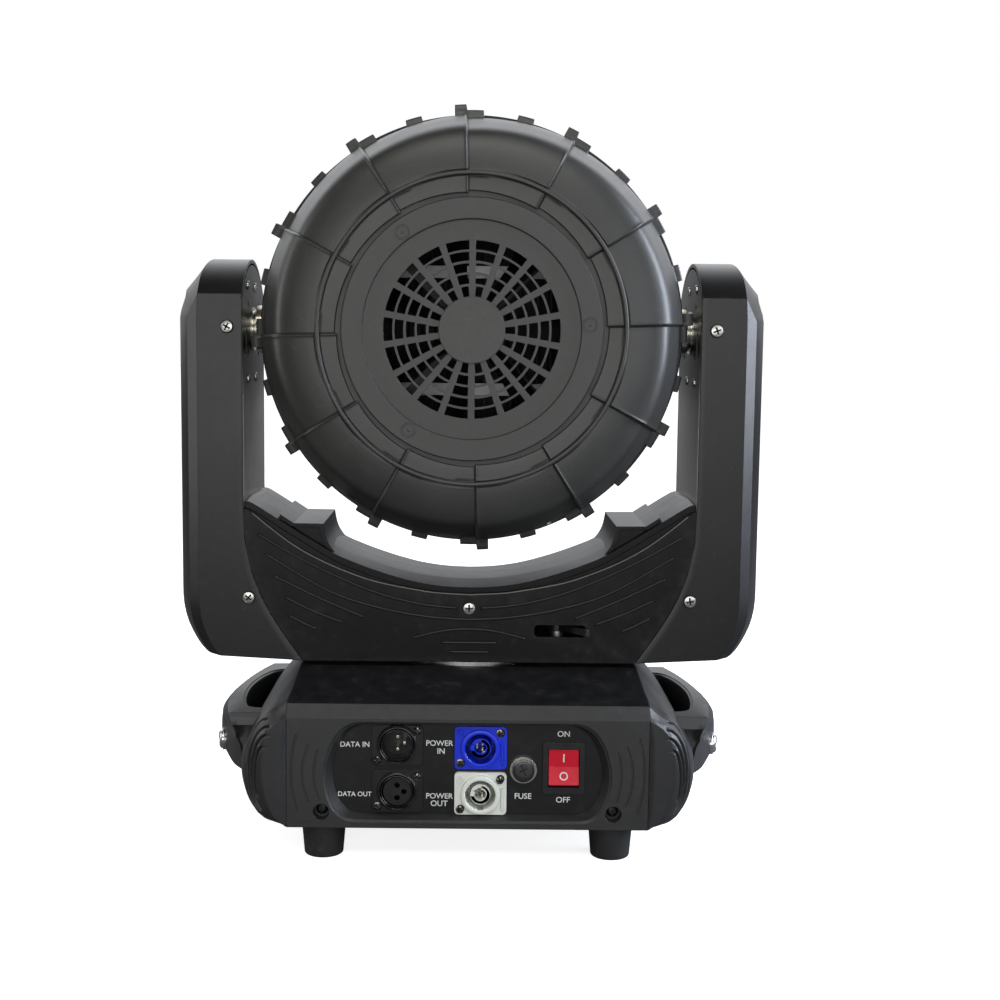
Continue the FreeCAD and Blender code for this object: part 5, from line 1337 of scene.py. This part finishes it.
ROCKER_X = 59.0
MARK_RAISE = 0.10
ON_HALF_WIDTH = 0.42
ON_SURFACE_Z = (61.0, 66.0)     # where the rocker is measured under the bar
ON_Z = (60.9, 66.1)             # ends of the bar
OFF_SURFACE_Z = (50.6, 54.8)
OFF_Z = 52.7
OFF_RING = [(1.85, -0.3), (1.85, MARK_RAISE), (2.55, MARK_RAISE), (2.55, -0.3), (1.85, -0.3)]


def rocker_marks():
    """Bar and ring on the rocker; each is left out where the rocker is not found."""
    marks = []
    low, high = [surface_y("switch_rocker", ROCKER_X, z) for z in ON_SURFACE_Z]
    if low is not None and high is not None:
        left, right = ROCKER_X - ON_HALF_WIDTH, ROCKER_X + ON_HALF_WIDTH
        outline = [(left, low, ON_Z[0]), (right, low, ON_Z[0]),
                   (right, high, ON_Z[1]), (left, high, ON_Z[1])]
        verts = [(x, y + dy, z) for dy in (-MARK_RAISE, 0.25) for x, y, z in outline]
        marks.append((verts, BOX_FACES))
    low, high = [surface_y("switch_rocker", ROCKER_X, z) for z in OFF_SURFACE_Z]
    if low is not None and high is not None:
        slope = (high - low) / (OFF_SURFACE_Z[1] - OFF_SURFACE_Z[0])
        centre = (ROCKER_X, 0.5 * (low + high), OFF_Z)
        marks.append(lathe(OFF_RING, 48, centre, (0.0, -1.0, slope)))
    make("rocker_marks", join(marks), "label_white", "switch_rocker", sharp=30)


FUSE_X, FUSE_Z = 34.2, 57.4
# radius, height
FUSE_FACE = [(0.0, 0.35), (1.0, 0.35), (2.0, 0.35), (3.0, 0.33), (4.0, 0.3), (4.9, 0.22),
             (5.3, 0.0), (5.3, -0.3), (0.0, -0.3)]
FUSE_BARS = [(0.45, 3.6, 0.47), (2.6, 0.45, 0.46)]    # half x, half z, height
FUSE_TURN = math.radians(24)


def fuse_cap():
    """Face and cross mark of the fuse cap, left out where the cap is not found; the black cross
    paints the shade of the slot.
    """
    y = surface_y("fuse_cap", FUSE_X + 3.4, FUSE_Z)
    if y is None:
        return
    face = lathe(FUSE_FACE, 64, (FUSE_X, y, FUSE_Z), TOWARDS_NEAR)
    make("fuse_cap_face", face, "fuse_face", "fuse_cap", sharp=40, merge=0.001)
    # black cross standing in for the shaded slot: painted shade
    bars = [turned_bar(FUSE_X, FUSE_Z, half_x, half_z, y - height, y + 0.1, FUSE_TURN)
            for half_x, half_z, height in FUSE_BARS]
    make("fuse_cap_slot", join(bars), "rim_black", "fuse_cap", sharp=30)


# ------------------------------------------------------------------ grille and other screws
GATE_R = 70.5
GATE_DEGREES = (3.0, 126.0, 238.0)
GATE_DOT = [(0.0, 0.22), (0.7, 0.2), (1.0, 0.05), (1.05, -0.3), (0.0, -0.3)]


def grille_gate_marks():
    """Three marks of two rings and a dot, where the grille has a surface."""
    marks = []
    for degrees in GATE_DEGREES:
        angle = math.radians(degrees)
        x, z = GATE_R * math.cos(angle), HEAD_Z + GATE_R * math.sin(angle)
        y = surface_y("grille_cover", x, z)
        if y is not None:
            marks.append(torus(x, y + 0.06, z, radius=4.4, thick=0.26))
            marks.append(torus(x, y + 0.06, z, radius=3.4, thick=0.18, count=40))
            marks.append(lathe(GATE_DOT, 24, (x, y, z), TOWARDS_NEAR))
    make("grille_gate_marks", join(marks), "grille_plastic", "grille_cover",
         sharp=40, merge=0.001)


# x, z
YOKE_SCREWS = [(152.9, 325.1), (-152.9, 325.1), (140.3, 154.0), (-140.3, 154.0), (0.0, 148.3)]
YOKE_SCREW_Y = 49.02
YOKE_SCREW_TALL = 2.2
# The black cross paints the shade in the cross slot.
CROSS_HALVES = ((0.52, 2.35), (2.35, 0.52))    # half x, half z of the dark cross


def yoke_screws():
    """Cross-head screws of the yoke covers, with a black ring and cross on each as painted shade
    of the gap round the head and of the cross slot.
    """
    heads, painted_shades = [], []
    top = YOKE_SCREW_Y + YOKE_SCREW_TALL
    for k, (x, z) in enumerate(YOKE_SCREWS):
        turn = 0.35 + 0.7 * k
        for _, side in NEAR_FAR:
            heads.append(screw_head(x, side * YOKE_SCREW_Y, z, radius=3.75,
                                    tall=YOKE_SCREW_TALL, turn=turn, axis=(0, side, 0)))
            # black ring round the head and black cross in the slot: painted shade
            painted_shades.append(torus(x, side * 49.05, z, radius=4.05, thick=0.28))
            for half_x, half_z in CROSS_HALVES:
                painted_shades.append(turned_bar(x, z, half_x, half_z, side * (top + 0.04),
                                        side * (top - 0.48), turn))
    make("yoke_screw_heads", join(heads), "screw_bright", "yoke_screws",
         sharp=50, replaces=True, merge=0.001)
    make("yoke_screw_painted_shade", join(painted_shades), "rim_black", "yoke_screws",
         sharp=50, merge=0.001)


CHEEK_SCREWS = [(7.0, 351.2), (7.5, 292.6), (-24.0, 292.0), (-24.0, 351.5)]    # y, z


def cheek_screws():
    """Screws on the inner faces of the yoke frame, where it has a surface."""
    heads = []
    for side in (-1, 1):
        for y, z in CHEEK_SCREWS:
            x = surface_x("yoke_frame", y, z, side)
            if x is not None and abs(x) > 138.0:
                heads.append(screw_head(x, y, z, radius=2.9, tall=1.3, turn=0.5,
                                        axis=(-side, 0, 0)))
    if heads:
        make("cheek_screw_heads", join(heads), "screw_bright", "yoke_frame",
             sharp=50, merge=0.001)


CASING_SCREW_R = 131.6
CASING_SCREWS = [(-53.0, 203.5), (49.8, 203.5)]    # x, z that set the direction from the axis


def casing_screws():
    """Small screws that hold the two halves of the head together."""
    heads = []
    for x, z in CASING_SCREWS:
        scale = CASING_SCREW_R / math.hypot(x, z - HEAD_Z)
        heads.append(screw_head(x * scale, -37.0, HEAD_Z + (z - HEAD_Z) * scale,
                                radius=1.7, tall=1.3, turn=0.5))
    make("casing_screws", join(heads), "screw_chrome", "head_rear_shell",
         sharp=50, merge=0.001)


# ------------------------------------------------------------------ stage
def studio_floor():
    """Floor that is bright to the camera and dark grey to all other rays."""
    bpy.ops.mesh.primitive_plane_add(size=30.0, location=(0, 0, 0))
    floor = bpy.context.object
    floor.name = "studio_floor"
    mat = new_material("studio_floor")
    pale = mat.node("ShaderNodeBsdfDiffuse", Color=(0.86, 0.86, 0.85, 1))
    glow = mat.node("ShaderNodeEmission", Color=(1, 1, 1, 1), Strength=0.80)
    seen = mat.node("ShaderNodeAddShader")
    mat.put(seen.inputs[0], pale.outputs[0])
    mat.put(seen.inputs[1], glow.outputs[0])
    dark = mat.node("ShaderNodeBsdfDiffuse", Color=(0.16, 0.16, 0.165, 1))
    shader = mat.mix_shader(mat.camera_ray(), dark.outputs[0], seen.outputs[0])
    floor.data.materials.append(mat.finish(shader))


def studio_world():
    """White to the camera; as light it grows towards +Y and upwards."""
    sky = Shader(bpy.data.worlds.new("studio"), "ShaderNodeOutputWorld")
    bpy.context.scene.world = sky.owner
    direction = sky.node("ShaderNodeTexCoord").outputs["Generated"]
    axes = sky.node("ShaderNodeSeparateXYZ", Vector=direction).outputs
    towards_far = sky.map_range(axes["Y"], from_min=0.18, from_max=0.85, to_min=0.04, to_max=1.3)
    upwards = sky.map_range(axes["Z"], from_min=0.0, from_max=0.5, to_min=0.36, to_max=1.6)
    light = sky.node("ShaderNodeBackground", Color=(0.95, 0.97, 1.0, 1),
                     Strength=sky.times(towards_far, upwards))
    backdrop = sky.node("ShaderNodeBackground", Color=(1, 1, 1, 1), Strength=1.0)
    sky.finish(sky.mix_shader(sky.camera_ray(), light.outputs[0], backdrop.outputs[0]))


# name, place, target, (width, height), power in watts, colour
LIGHTS = [
    ("key_top", (-0.05, -1.2, 1.5), (0, 0, 0.3), (1.2, 0.8), 11, (1.0, 0.985, 0.95)),
    ("side_right", (1.5, -0.1, 0.75), (0, 0, 0.3), (0.8, 1.2), 44, (0.80, 0.87, 1.0)),
    ("side_left", (-1.6, -0.1, 0.6), (0, 0, 0.25), (0.8, 1.2), 8, (1.0, 0.99, 0.97)),
    ("front_low", (-0.22, -2.0, 0.35), (0, 0, 0.2), (1.4, 0.7), 11, (1, 0.995, 0.98)),
    ("front_right", (0.9, -1.8, 0.6), (0, 0, 0.2), (0.7, 0.9), 6, (0.92, 0.95, 1.0)),
]


def area_light(name, place, target, size, power, colour):
    light = bpy.data.lights.new(name, "AREA")
    light.energy = power
    light.color = colour
    light.shape = "RECTANGLE"
    light.size, light.size_y = size
    obj = bpy.data.objects.new(name, light)
    bpy.context.scene.collection.objects.link(obj)
    obj.location = place
    obj.rotation_mode = "QUATERNION"
    obj.rotation_quaternion = (Vector(target) - Vector(place)).to_track_quat("-Z", "Y")


def camera():
    """Camera on the -Y side, tipped slightly down and rolled a little."""
    tip_down, roll = math.radians(6.2), math.radians(0.556)
    data = bpy.data.cameras.new("cam")
    obj = bpy.data.objects.new("cam", data)
    bpy.context.scene.collection.objects.link(obj)
    data.sensor_width = 36.0
    data.lens = 52.74
    data.shift_x = 0.0298
    data.clip_start = 0.05
    data.clip_end = 50.0
    obj.matrix_world = (Matrix.Translation((0.0, -0.969, 0.3176))
                        @ Matrix.Rotation(math.radians(90) - tip_down, 4, "X")
                        @ Matrix.Rotation(roll, 4, "Z"))
    bpy.context.scene.camera = obj


# ------------------------------------------------------------------ build
dress_cad_pieces()
rear_casing()
gap_shade_band()
side_caps()
handles()
handle_bolts()
arm_covers()
yoke_lines()
for row in LABELS:
    label(*row)
data_socket_rims()
power_collars()
socket_screws()
rocker_marks()
fuse_cap()
grille_gate_marks()
yoke_screws()
cheek_screws()
casing_screws()
studio_floor()
studio_world()
for row in LIGHTS:
    area_light(*row)
camera()
bpy.context.scene.view_settings.view_transform = "Standard"
bpy.context.scene.view_settings.look = "None"
